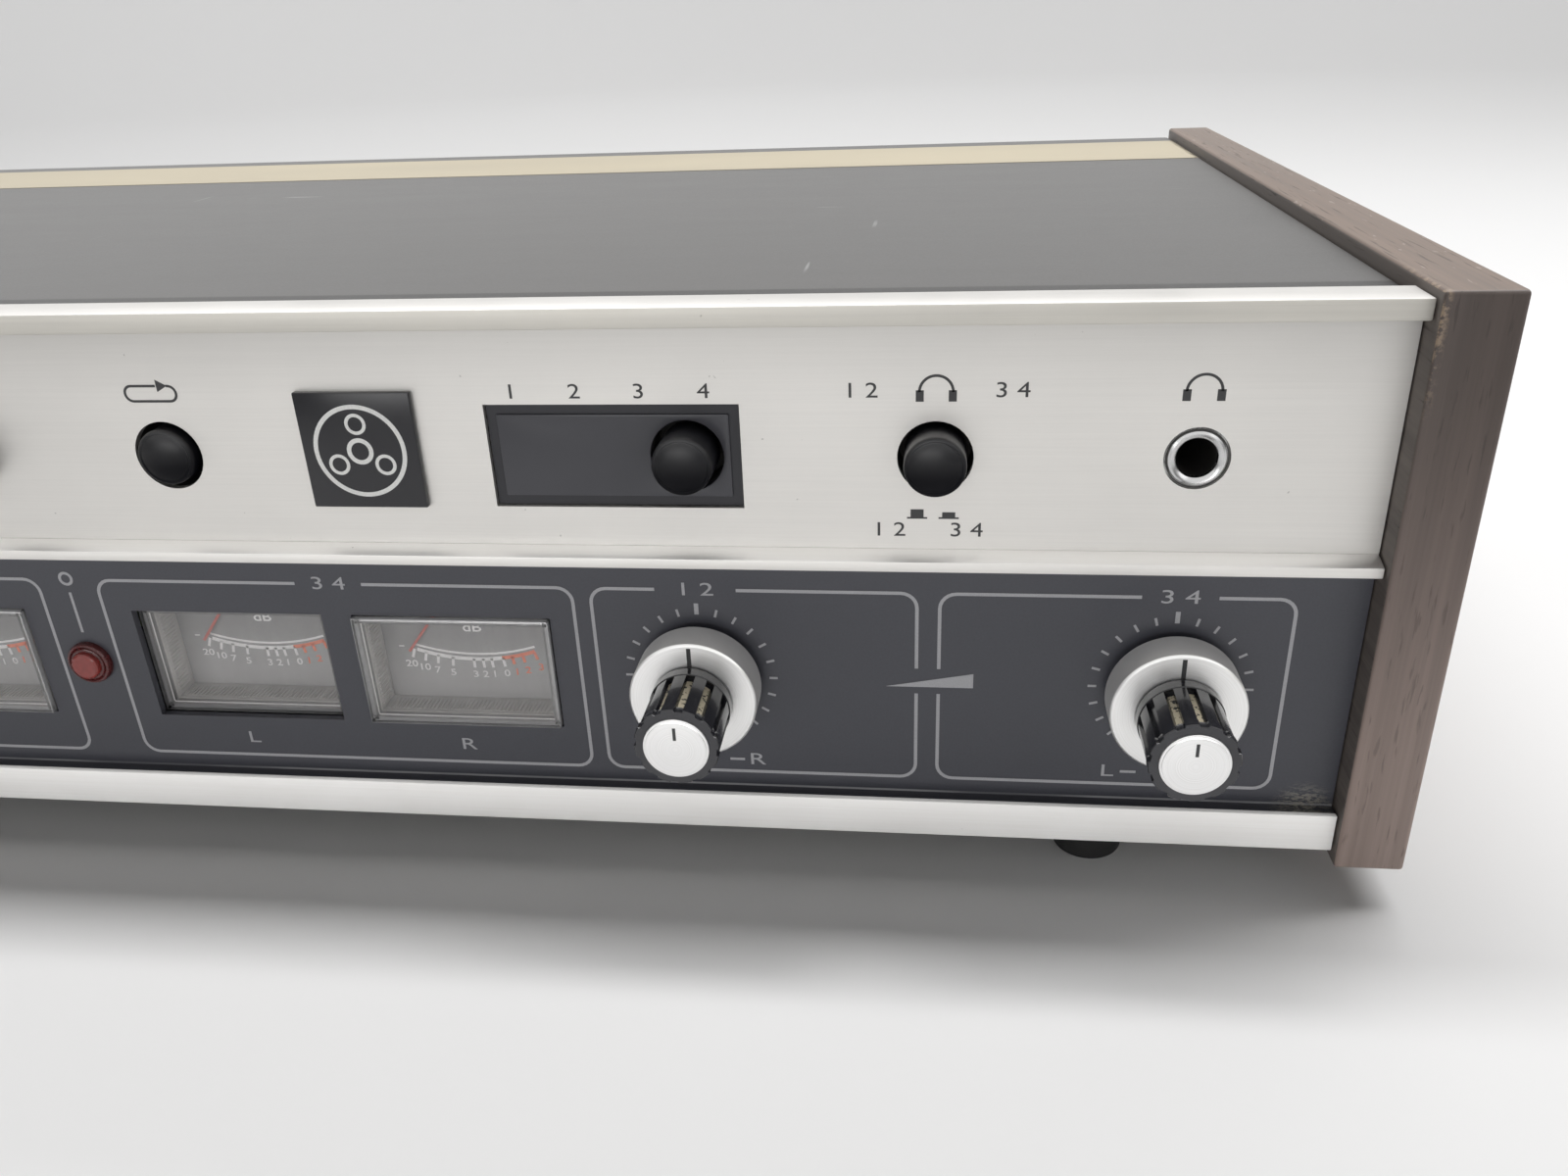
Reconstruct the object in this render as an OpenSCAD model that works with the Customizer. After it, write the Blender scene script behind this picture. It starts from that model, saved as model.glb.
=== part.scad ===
// Four-channel eight-track cartridge tape recorder, in millimetres.
// X runs to the right, Y to the rear and Z up. The origin lies on the ground below the middle of
// the whole outline, knobs included.

/* [Cabinet] */
// Width over both end panels
cabinet_w = 480; // [474:1:520]
// Thickness of an end panel
end_t = 12; // [10:0.5:14]
// Depth of an end panel
end_d = 241; // [236:1:270]
// Height of an end panel
end_h = 104; // [102:0.5:108]
// How far an end panel stands in front of the trim bars
end_lead = 1.7; // [0.5:0.1:3]
// How far an end panel stands above the trim bars
end_rise = 1.4; // [1:0.1:3]
// Gap between the ends of the front pieces and the end panels
bar_gap = 0.3; // [0.2:0.05:1]
// Thickness of the steel sheet
sheet_t = 1.2; // [0.8:0.1:1.6]
// Height of the base plate's side flanges
flange_h = 78; // [60:1:80]
// Set-back of the rear panel from the rear of the end panels
rear_set = 15; // [14:0.5:20]
// How far the top cover lies below the top of the trim bars
cover_drop = 1; // [0.5:0.1:2]
// Depth of the top cover's folded edges
cover_fold = 10; // [6:0.5:12]
// Set-back of the top cover from the rear of the end panels
cover_set = 2.4; // [1:0.1:5]
// Height of a foot
foot_h = 11.2; // [9:0.2:14]
// Radius of a foot at its top
foot_r = 7.5; // [6:0.25:9]
// Distance of a foot from the end of the trim bars
foot_in = 41.5; // [30:0.5:60]
// Distance of the front feet from the front of the trim bars
foot_front = 14; // [13:0.5:20]
// Distance of the rear feet from the rear panel
foot_rear = 22; // [15:0.5:40]

/* [Front stack] */
// Height of the front over the trim bars
front_h = 100; // [98:0.5:104]
// Set-back of the fascias behind the face of the trim bars
panel_set = 3.7; // [3:0.1:5]
// Thickness of the fascias
fascia_t = 1.5; // [1:0.1:2]
// Wall of the trim bars
bar_t = 1.2; // [1:0.1:1.6]
// Height of the top bar's face
top_bar_h = 3.4; // [2.5:0.1:5]
// Depth of the top bar's upper face
top_bar_d = 9; // [7:0.5:12]
// Drop from the top to the rear edge of the middle bar
mid_drop = 42.6; // [41:0.1:43.5]
// Fall of the middle bar's sloping top
mid_fall = 1; // [0.5:0.1:2]
// Height of the middle bar's face
mid_face = 1.9; // [1.5:0.1:3]
// Height of the bottom bar's face
bottom_bar_h = 7.5; // [6:0.5:9]
// Depth of the bottom bar's underside
bottom_bar_d = 5; // [3:0.5:6]

/* [Buttons] */
// Drop from the top to the row of buttons
row_drop = 26.2; // [25:0.1:27]
// Radius of a button
button_r = 5.15; // [4.5:0.05:5.5]
// Gap round a button in its hole
button_gap = 1.15; // [0.5:0.05:1.3]
// How far a button stands out of the fascia
button_proud = 6.2; // [5:0.1:8]
// Travel of a button
button_travel = 3.8; // [2:0.1:4.5]
// Side of the square switch housings
housing_w = 17; // [16:0.5:19]
// Side of a button's square stem
stem_w = 4; // [3:0.25:5]
// Length of stem held in the housing
stem_hold = 10; // [6:0.5:14]
// Step between neighbouring plain buttons
button_step = 40; // [38:0.5:42]

/* [Upper row] */
// Headphone jack from the right end of the bars
jack_in = 30.6; // [25:0.1:32]
// Headphone selector from the headphone jack
phone_step = 41.9; // [38:0.1:44]
// Channel selector from the headphone selector
stereo_step = 41.8; // [38:0.1:44]
// Repeat button from the channel selector
repeat_step = 94.1; // [90:0.1:96]
// Width of the selector window
window_w = 44; // [40:0.5:48]
// Height of the selector window
window_h = 18.5; // [17:0.5:22]
// Selector window's right edge from its button
window_edge = 9.4; // [8:0.1:12]
// Side of the square badge plate
badge_w = 21; // [15:0.5:22]
// Thickness of the badge plate
badge_t = 1.2; // [0.8:0.1:2]
// Middle of the badge plate from the channel selector
badge_step = 57.4; // [56:0.1:60]
// Drop from the top to the middle of the badge plate
badge_drop = 24.9; // [22:0.1:26]
// Radius of a jack's bore, for a 6.35 mm plug
jack_bore_r = 3.25; // [3.2:0.01:3.4]
// Radius of a jack's threaded collar
jack_collar_r = 4.75; // [4.4:0.05:5]
// Depth of a jack's bore
jack_depth = 28; // [24:0.5:32]
// Side of a jack's body
jack_body_w = 16; // [14:0.5:18]

/* [Volume controls] */
// Drop from the top to the axes of the knobs, meters and lower buttons
knob_drop = 68.9; // [68:0.1:70]
// Rear volume control from the right end of the bars
volume_in = 30.8; // [28:0.1:33]
// Front volume control from the rear one
volume_step = 83.9; // [60:0.1:84]
// Radius of the outer ring
ring_r = 11.5; // [10.5:0.1:12]
// Gap between the outer ring and the fascia
ring_gap = 1.9; // [1.6:0.1:3]
// Length of the outer ring
ring_len = 7.3; // [6:0.1:9]
// Gap between the outer ring and the inner knob
knob_gap = 0.4; // [0.3:0.05:0.8]
// Length of the inner knob
knob_len = 15.1; // [13:0.1:17]
// Radius of the inner knob's front rim
knob_r = 7.3; // [7:0.1:8]
// Radius of the inner knob's skirt
knob_skirt_r = 7.6; // [7.2:0.1:8.5]
// Radius of the raised end disc
knob_disc_r = 5.75; // [5:0.05:6]
// Number of flutes round the inner knob
flutes = 12; // [8:1:16]
// Radius of the outer, hollow shaft
sleeve_r = 3; // [2.8:0.05:3.2]
// Radius of the inner shaft
shaft_r = 1.6; // [1.5:0.05:1.8]
// Radius of the potentiometer's bushing
bushing_r = 4.5; // [4.2:0.1:5]
// Radius of the potentiometer's body
pot_r = 12.5; // [11:0.5:14]
// Depth of the potentiometer's body
pot_d = 24; // [20:0.5:28]

/* [Meters] */
// Width of a meter's cut-out
meter_w = 38.4; // [36:0.1:39]
// Height of a meter's cut-out
meter_h = 23.2; // [20:0.1:24]
// Gap between two neighbouring cut-outs
meter_gap = 5.9; // [5:0.1:6.5]
// Rear pair's right cut-out edge from the right end of the bars
meter_in = 142.2; // [140:0.1:143]
// Gap between the two pairs of meters
pair_gap = 22.4; // [20:0.1:25]
// Drop from the top to the middle of the cut-outs
meter_drop = 69.2; // [68:0.1:70]
// How far a meter cover stands out of the fascia
cover_proud = 1.1; // [0.5:0.1:2]
// How far the one sunken meter sits back
meter_sink = 2.6; // [0:0.1:3]
// Wall of a meter cover
cover_wall = 1.2; // [1:0.1:1.5]
// Depth of a meter case
case_d = 20; // [14:0.5:24]
// Depth of the dial behind the fascia's face
dial_depth = 7.5; // [6:0.1:9]
// Drop from the top to the needles' pivots
pivot_drop = 53; // [52:0.1:54]
// Length of a needle from its pivot
needle_len = 19.7; // [17:0.1:21]
// Angle of a resting needle from straight down
needle_rest = 38; // [30:1:40]
// Radius of the record lamp's lens
lamp_r = 4.35; // [4:0.05:5]
// Record lamp from the cut-out on its right
lamp_in = 11.5; // [9:0.1:12]

/* [Cartridge bay] */
// Width of the cartridge slot
slot_w = 104; // [103:0.2:106]
// Height of the cartridge slot
slot_h = 25.4; // [24.5:0.1:26]
// Drop from the top to the middle of the slot
slot_drop = 23.5; // [22:0.1:24]
// Slot's left edge from the left end of the bars
slot_in = 11.2; // [10:0.1:14]
// Depth of the cartridge tray
tray_d = 90; // [85:0.5:94]
// Thickness of the door
door_t = 1.6; // [1.4:0.1:2]
// Gap round the door
door_gap = 0.4; // [0.3:0.05:0.8]
// Radius of the door's hinge barrel
barrel_r = 1.5; // [1.4:0.05:1.6]
// Radius of the hinge pin
pin_r = 0.8; // [0.6:0.05:0.9]
// Thickness of the deck plate
deck_t = 2; // [1.6:0.1:2.5]
// Overhang of the deck plate beside the tray
deck_over = 3.8; // [3:0.1:5]
// Depth of the deck plate behind the tray
deck_tail = 88; // [84:0.5:92]
// Step between the program lamps
lamp_step = 7; // [6.5:0.1:7.5]
// Radius of a program lamp's lens
small_lamp_r = 2.6; // [2.2:0.1:3]
// First program lamp from the slot
small_lamp_in = 10.8; // [9:0.1:12]
// Last program lamp from the program button
small_lamp_clear = 20; // [14:0.5:24]
// Power button from the left end of the bars
power_in = 26; // [24:0.5:28]
// Step between the power and record buttons
lower_step = 26; // [24:0.5:28]
// Step between the lower left jacks and to the button before them
mic_step = 23; // [21:0.5:24]

/* [Drive] */
// Radius of the flywheel
flywheel_r = 34; // [28:0.5:35]
// Thickness of the flywheel
flywheel_t = 12; // [8:0.5:16]
// Radius of the capstan
capstan_r = 2; // [1.5:0.05:2.5]
// Capstan from the middle of the slot
capstan_x = 16; // [14:0.5:18]
// Capstan from the end of the tray
capstan_y = 3.5; // [3:0.1:5]
// Height of the capstan above the tray's floor
capstan_h = 22; // [16:0.5:26]
// Radius of the capstan's bearings
bearing_r = 5; // [4:0.25:6]
// Length of the upper bearing below the deck plate
bearing_len = 8; // [6:0.5:10]
// Gap between the upper bearing and the flywheel
flywheel_gap = 2; // [1.5:0.1:3]
// Radius of the motor
motor_r = 24; // [20:0.5:25]
// Height of the motor
motor_h = 30; // [26:0.5:34]
// Motor from the middle of the slot
motor_x = 28; // [26:0.5:29]
// Motor from the capstan, to the rear
motor_y = 55; // [52:0.5:58]
// Radius of the motor's pulley
pulley_r = 6.5; // [5:0.25:8]
// Thickness of the belt
belt_t = 0.8; // [0.6:0.1:1.2]
// Height of the belt
belt_h = 6; // [4:0.5:8]

/* [Head] */
// Head from the middle of the slot
head_x = 12; // [10:0.5:14]
// Width of the tape head
head_w = 12; // [10:0.5:13]
// Depth of the tape head
head_d = 8.2; // [7:0.1:9]
// Height of the tape head
head_h = 13; // [10:0.5:14]
// Gap between the tray and the head
head_gap = 0.8; // [0.6:0.1:1.2]
// Width of the head carriage
carriage_w = 26; // [24:0.5:28]
// Depth of the head carriage
carriage_d = 12; // [10:0.5:14]
// Height of the head carriage
carriage_h = 12.5; // [10:0.5:14]
// Radius of the carriage's guide posts
post_r = 2; // [1.5:0.1:2.5]
// Distance between the guide posts
post_step = 18; // [16:0.5:19]
// Lift of the head over all four programs
head_lift = 2.4; // [2:0.1:3]
// Turn of the cam from the first to the last program
cam_turn = 270; // [240:15:270]
// Radius of the program cam
cam_r = 12; // [11:0.25:13]
// Height of the cam's lowest step above the deck plate
cam_h = 7.4; // [7:0.1:8]
// Radius of the ratchet wheel
ratchet_r = 14.5; // [14.25:0.25:16]
// Number of ratchet teeth
teeth = 12; // [8:4:16]
// Radius of the cam's spindle
spindle_r = 2.5; // [2:0.1:3]
// Travel of the solenoid's plunger
plunger_travel = 5; // [3:0.25:6]
// Radius of the plunger
plunger_r = 3; // [2.5:0.1:3.5]
// Length of the solenoid
solenoid_l = 28; // [26:0.5:30]
// Side of the solenoid
solenoid_w = 18; // [16:0.5:20]

/* [Electrics] */
// Width of the amplifier board
board_w = 205; // [180:1:206]
// Depth of the amplifier board
board_d = 140; // [120:1:150]
// Height of the board's posts
board_h = 10; // [8:0.5:12]
// Middle of the board from the right end of the bars
board_in = 200; // [198:0.5:206]
// Width of the transformer's core
core_w = 62; // [54:0.5:64]
// Depth of the transformer's core
core_d = 30; // [26:0.5:34]
// Height of the transformer's core
core_h = 52; // [46:0.5:56]
// Thickness of the transformer's winding beyond the core
winding_t = 9; // [7:0.5:10]
// Middle of the transformer from the right end of the bars
core_in = 48; // [46:0.5:52]
// Middle of the transformer from the rear panel
core_rear = 52; // [48:0.5:60]
// Radius of a line socket's shell
line_r = 4.15; // [4.1:0.01:4.2]
// Length of a line socket's shell
line_len = 8.5; // [7:0.1:9]
// Step between line sockets
line_step = 20; // [18:0.5:22]
// Last line socket from the right end of the bars
line_in = 40; // [36:0.5:44]
// Drop from the top to the upper line sockets
line_drop = 30; // [28:0.5:34]
// Width of the power inlet
inlet_w = 24; // [22:0.5:26]
// Height of the power inlet
inlet_h = 18; // [16:0.5:20]
// Power inlet from the left end of the bars
inlet_in = 46; // [40:0.5:50]

/* [Fits] */
// Radial running clearance of shafts
run_gap = 0.05; // [0.03:0.01:0.08]
// Clearance of pressed and seated pieces
seat_gap = 0.02; // [0.01:0.01:0.05]
// Clearance between free pieces
free_gap = 0.3; // [0.25:0.05:0.5]
// Radius of a screw's shank
screw_r = 1.6; // [1.4:0.1:2]
// Radius of a screw's head
head_r = 3; // [2.6:0.1:3.4]
// Height of a screw's head
screw_head = 2; // [1.5:0.1:2.5]

/* [Hidden] */
$fn = 64;

// Main planes across the width and depth
wall_x = cabinet_w / 2 - end_t;
bar_x = wall_x - bar_gap;
knob_reach = ring_gap + ring_len + knob_gap + knob_len - panel_set;
bar_y = knob_reach - (knob_reach + end_d - end_lead) / 2;
panel_y = bar_y + panel_set;
back_y = panel_y + fascia_t;
end_y = bar_y - end_lead;
rear_y = end_y + end_d - rear_set;

// Main levels
floor_z = foot_h + sheet_t;
top_z = foot_h - bar_t + front_h;
end_z = top_z + end_rise - end_h;
cover_z = top_z - cover_drop;
under_z = cover_z - sheet_t;
row_z = top_z - row_drop;
knob_z = top_z - knob_drop;
split_z = top_z - mid_drop - (mid_fall + mid_face) / 2;
lip_drop = 0.4;
lip_z = foot_h - bar_t + bottom_bar_h - lip_drop;

// What the bars' length leaves over or lacks, once the steps of the upper row are laid out, is shared out
row_len = jack_in + phone_step + stereo_step + repeat_step + 2 * button_step + small_lamp_clear
    + 3 * lamp_step + small_lamp_in + slot_w + slot_in;
spread = 2 * bar_x - row_len;
upper_spread = spread / 6;
volume_spread = spread / 3;
meter_spread = spread / 8;
pair_spread = spread / 16;
left_spread = spread / 12;
board_spread = spread * 0.6;

// Places along the front, from the right and from the left end of the bars
function from_right(d) = bar_x - d;
function from_left(d) = d - bar_x;
jack_x = from_right(jack_in);
headphone_x = jack_x - phone_step - upper_spread;
channels_x = headphone_x - stereo_step - upper_spread;
repeat_x = channels_x - repeat_step - upper_spread;
forward_x = repeat_x - button_step - upper_spread;
program_x = forward_x - button_step - upper_spread;
window_x = channels_x + window_edge - window_w / 2;
badge_x = channels_x - badge_step;
volume_rear_x = from_right(volume_in);
volume_front_x = volume_rear_x - volume_step - volume_spread;
power_x = from_left(power_in);
record_x = power_x + lower_step + left_spread;
mic_x = [for (i = [1, 2]) record_x + i * (mic_step + left_spread)];
slot_x = from_left(slot_in + slot_w / 2);
small_lamp_x = [for (i = [0 : 3]) slot_x + slot_w / 2 + small_lamp_in + i * lamp_step];

// Buttons as place across, height, front of the housing and rest position
window_flange = 1.5;
buttons = [
    [headphone_x, row_z, back_y, 0],
    [channels_x, row_z, back_y + window_flange, 0],
    [repeat_x, row_z, back_y, 1],
    [forward_x, row_z, back_y, 0],
    [program_x, row_z, back_y, 0],
    [record_x, knob_z, back_y, 0],
    [power_x, knob_z, back_y, 0]
];
hole_r = button_r + button_gap;
cap_tail = 4;
stem_gap = 0.4;
well_y = panel_y + cap_tail + button_travel + free_gap;
stem_y = well_y + stem_hold;
stem_well_y = stem_y + button_travel + free_gap;
housing_wall = 3;
housing_y = stem_well_y + housing_wall;

// Jacks
jack_hole_gap = 0.55;
jack_hole_r = jack_collar_r + jack_hole_gap;
jack_sink = 0.3;
jack_wall = 2;

// Volume controls, as heights out of the fascia and depths behind it
ring_front = ring_gap + ring_len;
ring_edge = 0.8;
knob_back = ring_front + knob_gap;
knob_front = knob_back + knob_len;
skirt_h = 2.4;
skirt_edge = 0.8;
rim_h = 2.5;
rim_edge = 0.6;
disc_h = 0.3;
grip_r = knob_r - 0.4;
flute_r = 1.5;
sleeve_in = 11;
shaft_in = 20;
sleeve_out = ring_front - 0.6;
shaft_out = knob_front - 5;

// Meters as place across and sink, from left to right
meter_step = meter_w + meter_gap;
rear_right_x = from_right(meter_in + volume_spread + meter_spread) - meter_w / 2;
front_right_x = rear_right_x - 2 * meter_w - meter_gap - pair_gap - pair_spread;
meters = [
    [front_right_x - meter_step, 0],
    [front_right_x, 0],
    [rear_right_x - meter_step, meter_sink],
    [rear_right_x, 0]
];
meter_z = top_z - meter_drop;
pivot_z = top_z - pivot_drop;
cover_fit = 0.2;
cover_front = 1.3;
lug_t = 1.2;
case_gap = 1.3;
case_w = meter_step - 2 * lug_t - case_gap;
case_wall = 1.2;
case_low_z = meter_z - meter_h / 2 - case_wall;
pivot_head = 5;
case_high_z = pivot_z + pivot_head;
dial_t = 0.8;
pivot_r = 0.5;
needle_hub_r = 1.6;
needle_t = 1;
needle_w = 0.5;
needle_gap = 0.6;
lamp_x = rear_right_x - meter_step - meter_w / 2 - lamp_in;
lamp_rim = 0.9;
lens_depth = 8;
lens_proud = 2.6;
small_lens_proud = 1.6;

// Cartridge bay
slot_z = top_z - slot_drop;
slot_low_z = slot_z - slot_h / 2;
slot_high_z = slot_z + slot_h / 2;
hinge_y = back_y + barrel_r + free_gap;
hinge_rise = 1;
hinge_z = slot_high_z + hinge_rise;
tray_wall = 1.2;
tray_y = back_y + tray_d;
tray_x = slot_w / 2 + tray_wall;
drive_clear = 1;
drive_x = max(capstan_x + flywheel_r + belt_t, motor_x + motor_r) + drive_clear;
deck_x = max(tray_x + deck_over, drive_x + deck_t);
deck_z = slot_low_z - tray_wall;
deck_y = tray_y + deck_tail;
leg_back = 42;

// Drive
cap_x = slot_x + capstan_x;
cap_y = tray_y + capstan_y;
bearing_z = deck_z - deck_t - bearing_len;
wheel_z = bearing_z - flywheel_gap - flywheel_t;
thrust_h = 10;
spin_x = slot_x - motor_x;
spin_y = cap_y + motor_y;
motor_shaft_r = 1.5;
motor_collar = 3;
belt_z = wheel_z + (flywheel_t - belt_h) / 2;

// Head
reader_x = slot_x - head_x;
reader_y = tray_y + head_gap;
carriage_y = reader_y + head_d;
cam_gap = 1;
cam_y = carriage_y + carriage_d + cam_gap + cam_r;
cam_z = deck_z + cam_h;
follower_gap = 0.4;
carriage_z = cam_z + follower_gap;
post_y = carriage_y + carriage_d / 2;
post_over = 5;
post_top_z = carriage_z + carriage_h + head_lift + post_over;
ratchet_z = deck_z + 2;
ratchet_t = 2;
tooth_h = 2;
cam_rim = 0.3;
programs = 4;
program_turn = cam_turn / (programs - 1);
program_lift = head_lift / (programs - 1);
cam_lead = 14;
follower_turn = -90;
cam_end = follower_turn + cam_lead - cam_turn - program_turn;
follower_w = 4;
follower_l = 5;
plunger_out = 4;
plunger_x = reader_x + ratchet_r + plunger_out;
plunger_z = deck_z + solenoid_w / 2;
pawl_gap = 0.5;
pawl_l = 6;
solenoid_gap = 5;
solenoid_y = cam_y + ratchet_r + solenoid_gap;

// Electrics
board_x = from_right(board_in + board_spread / 2);
board_half = (board_w + board_spread) / 2;
board_back = 48;
board_y = back_y + board_back;
board_t = 1.6;
board_post = 3;
can_r = 5;
can_h = 14;
can_extra_r = 2;
can_extra_h = 6;
can_columns = 6;
can_step = board_half * 0.29;
can_y = board_d * 0.21;
can_row = board_d * 0.43;
sink_half = board_half * 0.68;
sink_t = 8;
sink_edge = 6;
sink_h = 30;
board_z = floor_z + board_h;
core_x = from_right(core_in);
core_y = rear_y - core_rear;
core_foot = 2;
inlet_x = from_left(inlet_in);
inlet_z = knob_z;
inlet_lip = 3;
line_x = [for (i = [0 : 3]) from_right(line_in + i * line_step)];
line_z = [top_z - line_drop, top_z - line_drop - line_step];
line_body_r = 5;
line_pin_r = 1.7;
vents = 14;
vent_w = 3;
vent_h = 26;
vent_step = 7;

// Feet and screws
foot_xy = [
    for (side = [-1, 1], y = [bar_y + foot_front, rear_y - foot_rear]) [side * (bar_x - foot_in), y]
];
foot_taper = 1;
foot_well = 5;
hole_gap = 0.1;
end_screw_in = 30;
end_screw_up = 12;
end_screw_yz = [
    for (y = [back_y + end_screw_in, rear_y - end_screw_in],
        z = [floor_z + end_screw_up, floor_z + flange_h - end_screw_up]) [y, z]
];
end_screw_len = 8;
rear_screw_xz = [
    for (side = [-1, 0, 1], z = [floor_z + 8, under_z - 14]) [side * (wall_x - 10), z]
];

// A box between two corners
module box(low, high) {
    translate(low) cube(high - low);
}

// A cylinder along Y
module rod_y(r, x, z, y0, y1) {
    translate([x, y0, z]) rotate([-90, 0, 0]) cylinder(r = r, h = y1 - y0);
}

// A cylinder along X
module rod_x(r, y, z, x0, x1) {
    translate([x0, y, z]) rotate([0, 90, 0]) cylinder(r = r, h = x1 - x0);
}

// A cylinder along Z
module rod_z(r, x, y, z0, z1) {
    translate([x, y, z0]) cylinder(r = r, h = z1 - z0);
}

// A body turned about Y, with heights measured out of the fascia's face
module turned(x, z, points) {
    translate([x, panel_y, z]) rotate([90, 0, 0]) rotate_extrude() polygon(points);
}

// A bar along X with its profile in Y and Z
module profile_bar(points, half) {
    translate([-half, 0, 0]) rotate([90, 0, 90]) linear_extrude(2 * half) polygon(points);
}

// Cabinet

module end_panel(side) {
    difference() {
        translate([side * (wall_x + end_t / 2), end_y + end_d / 2, end_z + end_h / 2])
            cube([end_t, end_d, end_h], center = true);
        for (p = end_screw_yz)
            rod_x(screw_r + hole_gap, p[0], p[1], side * wall_x - end_screw_len, side * wall_x + end_screw_len);
    }
}

module end_panel_left() {
    color("#5b4a40") end_panel(-1);
}

module end_panel_right() {
    color("#5b4a40") end_panel(1);
}

module top_cover() {
    front = bar_y + top_bar_d + bar_gap;
    rear = end_y + end_d - cover_set;
    color("#3a3a3c") {
        box([-bar_x, front, under_z], [bar_x, rear, cover_z]);
        box([-bar_x, rear - sheet_t, under_z - cover_fold], [bar_x, rear, under_z]);
        for (side = [-1, 1])
            translate([side * (bar_x - sheet_t / 2), (front + rear) / 2 , under_z - cover_fold / 2])
                cube([sheet_t, rear - front, cover_fold], center = true);
    }
}

module base_plate() {
    color("#7c7d80") difference() {
        union() {
            box([-wall_x, bar_y + bar_t, foot_h], [wall_x, rear_y, floor_z]);
            for (side = [-1, 1])
                translate([side * (wall_x - sheet_t / 2), (back_y + 4 + rear_y) / 2, floor_z + flange_h / 2])
                    cube([sheet_t, rear_y - back_y - 4, flange_h], center = true);
        }
        for (p = foot_xy)
            rod_z(screw_r + hole_gap, p[0], p[1], 0, floor_z + 1);
        for (side = [-1, 1], p = end_screw_yz)
            rod_x(screw_r + hole_gap, p[0], p[1], side * wall_x - end_screw_len, side * wall_x + end_screw_len);
    }
}

module rear_panel() {
    color("#3f4043") difference() {
        box([-bar_x + sheet_t + bar_gap, rear_y, foot_h], [bar_x - sheet_t - bar_gap, rear_y + sheet_t, under_z]);
        for (p = rear_screw_xz)
            rod_y(screw_r + hole_gap, p[0], p[1], rear_y - 1, rear_y + sheet_t + 1);
        for (x = line_x, z = line_z)
            rod_y(line_body_r + hole_gap, x, z, rear_y - 1, rear_y + sheet_t + 1);
        translate([inlet_x, rear_y, inlet_z])
            cube([inlet_w + 2 * hole_gap, 4 * sheet_t, inlet_h + 2 * hole_gap], center = true);
        for (i = [0 : vents - 1])
            translate([(i - (vents - 1) / 2) * vent_step - vent_h, rear_y, row_z - vent_h / 2])
                cube([vent_w, 4 * sheet_t, vent_h], center = true);
    }
}

module feet() {
    color("#1c1c1c") for (p = foot_xy)
        translate([p[0], p[1], 0]) difference() {
            cylinder(r1 = foot_r - foot_taper, r2 = foot_r, h = foot_h);
            translate([0, 0, -1]) cylinder(r = head_r + hole_gap, h = foot_well + 1);
            cylinder(r = screw_r + hole_gap, h = 2 * foot_h);
        }
}

module screws() {
    color("silver") {
        for (p = foot_xy) {
            rod_z(head_r, p[0], p[1], foot_well - screw_head, foot_well);
            rod_z(screw_r, p[0], p[1], foot_well, floor_z + 3);
        }
        for (side = [-1, 1], p = end_screw_yz)
            translate([side * (wall_x - sheet_t), p[0], p[1]]) rotate([0, side * 90, 0]) {
                translate([0, 0, -screw_head]) cylinder(r = head_r, h = screw_head);
                cylinder(r = screw_r, h = sheet_t + end_screw_len - 1);
            }
        for (p = rear_screw_xz) {
            rod_y(head_r, p[0], p[1], rear_y + sheet_t, rear_y + sheet_t + screw_head);
            rod_y(screw_r, p[0], p[1], rear_y - 5, rear_y + sheet_t);
        }
    }
}

// Front stack

module top_bar() {
    color("#d4d2cd") profile_bar([
        [bar_y, top_z],
        [bar_y + top_bar_d, top_z],
        [bar_y + top_bar_d, top_z - bar_t],
        [panel_y, top_z - bar_t],
        [panel_y, top_z - top_bar_h],
        [bar_y, top_z - top_bar_h]
    ], bar_x);
}

module middle_bar() {
    rear_z = top_z - mid_drop;
    color("#d4d2cd") profile_bar([
        [panel_y, rear_z],
        [panel_y, rear_z - mid_fall - mid_face],
        [bar_y, rear_z - mid_fall - mid_face],
        [bar_y, rear_z - mid_fall]
    ], bar_x);
}

module bottom_bar() {
    low_z = foot_h - bar_t;
    color("#d4d2cd") profile_bar([
        [bar_y, low_z],
        [bar_y + bottom_bar_d, low_z],
        [bar_y + bottom_bar_d, foot_h],
        [bar_y + bar_t, foot_h],
        [bar_y + bar_t, low_z + bottom_bar_h],
        [bar_y, low_z + bottom_bar_h]
    ], bar_x);
}

module fascia_holes(r, places) {
    for (p = places)
        rod_y(r, p[0], p[1], panel_y - 1, back_y + 1);
}

module upper_fascia() {
    color("#c9c7c3") difference() {
        box([-bar_x, panel_y, split_z], [bar_x, back_y, top_z - bar_t]);
        fascia_holes(hole_r, [for (x = [headphone_x, repeat_x, forward_x, program_x]) [x, row_z]]);
        fascia_holes(jack_hole_r, [[jack_x, row_z]]);
        fascia_holes(small_lamp_r - lamp_rim + hole_gap, [for (x = small_lamp_x) [x, row_z]]);
        translate([window_x, panel_y, row_z]) cube([window_w, 4 * fascia_t, window_h], center = true);
        translate([slot_x, panel_y, slot_z]) cube([slot_w, 4 * fascia_t, slot_h], center = true);
    }
}

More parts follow.
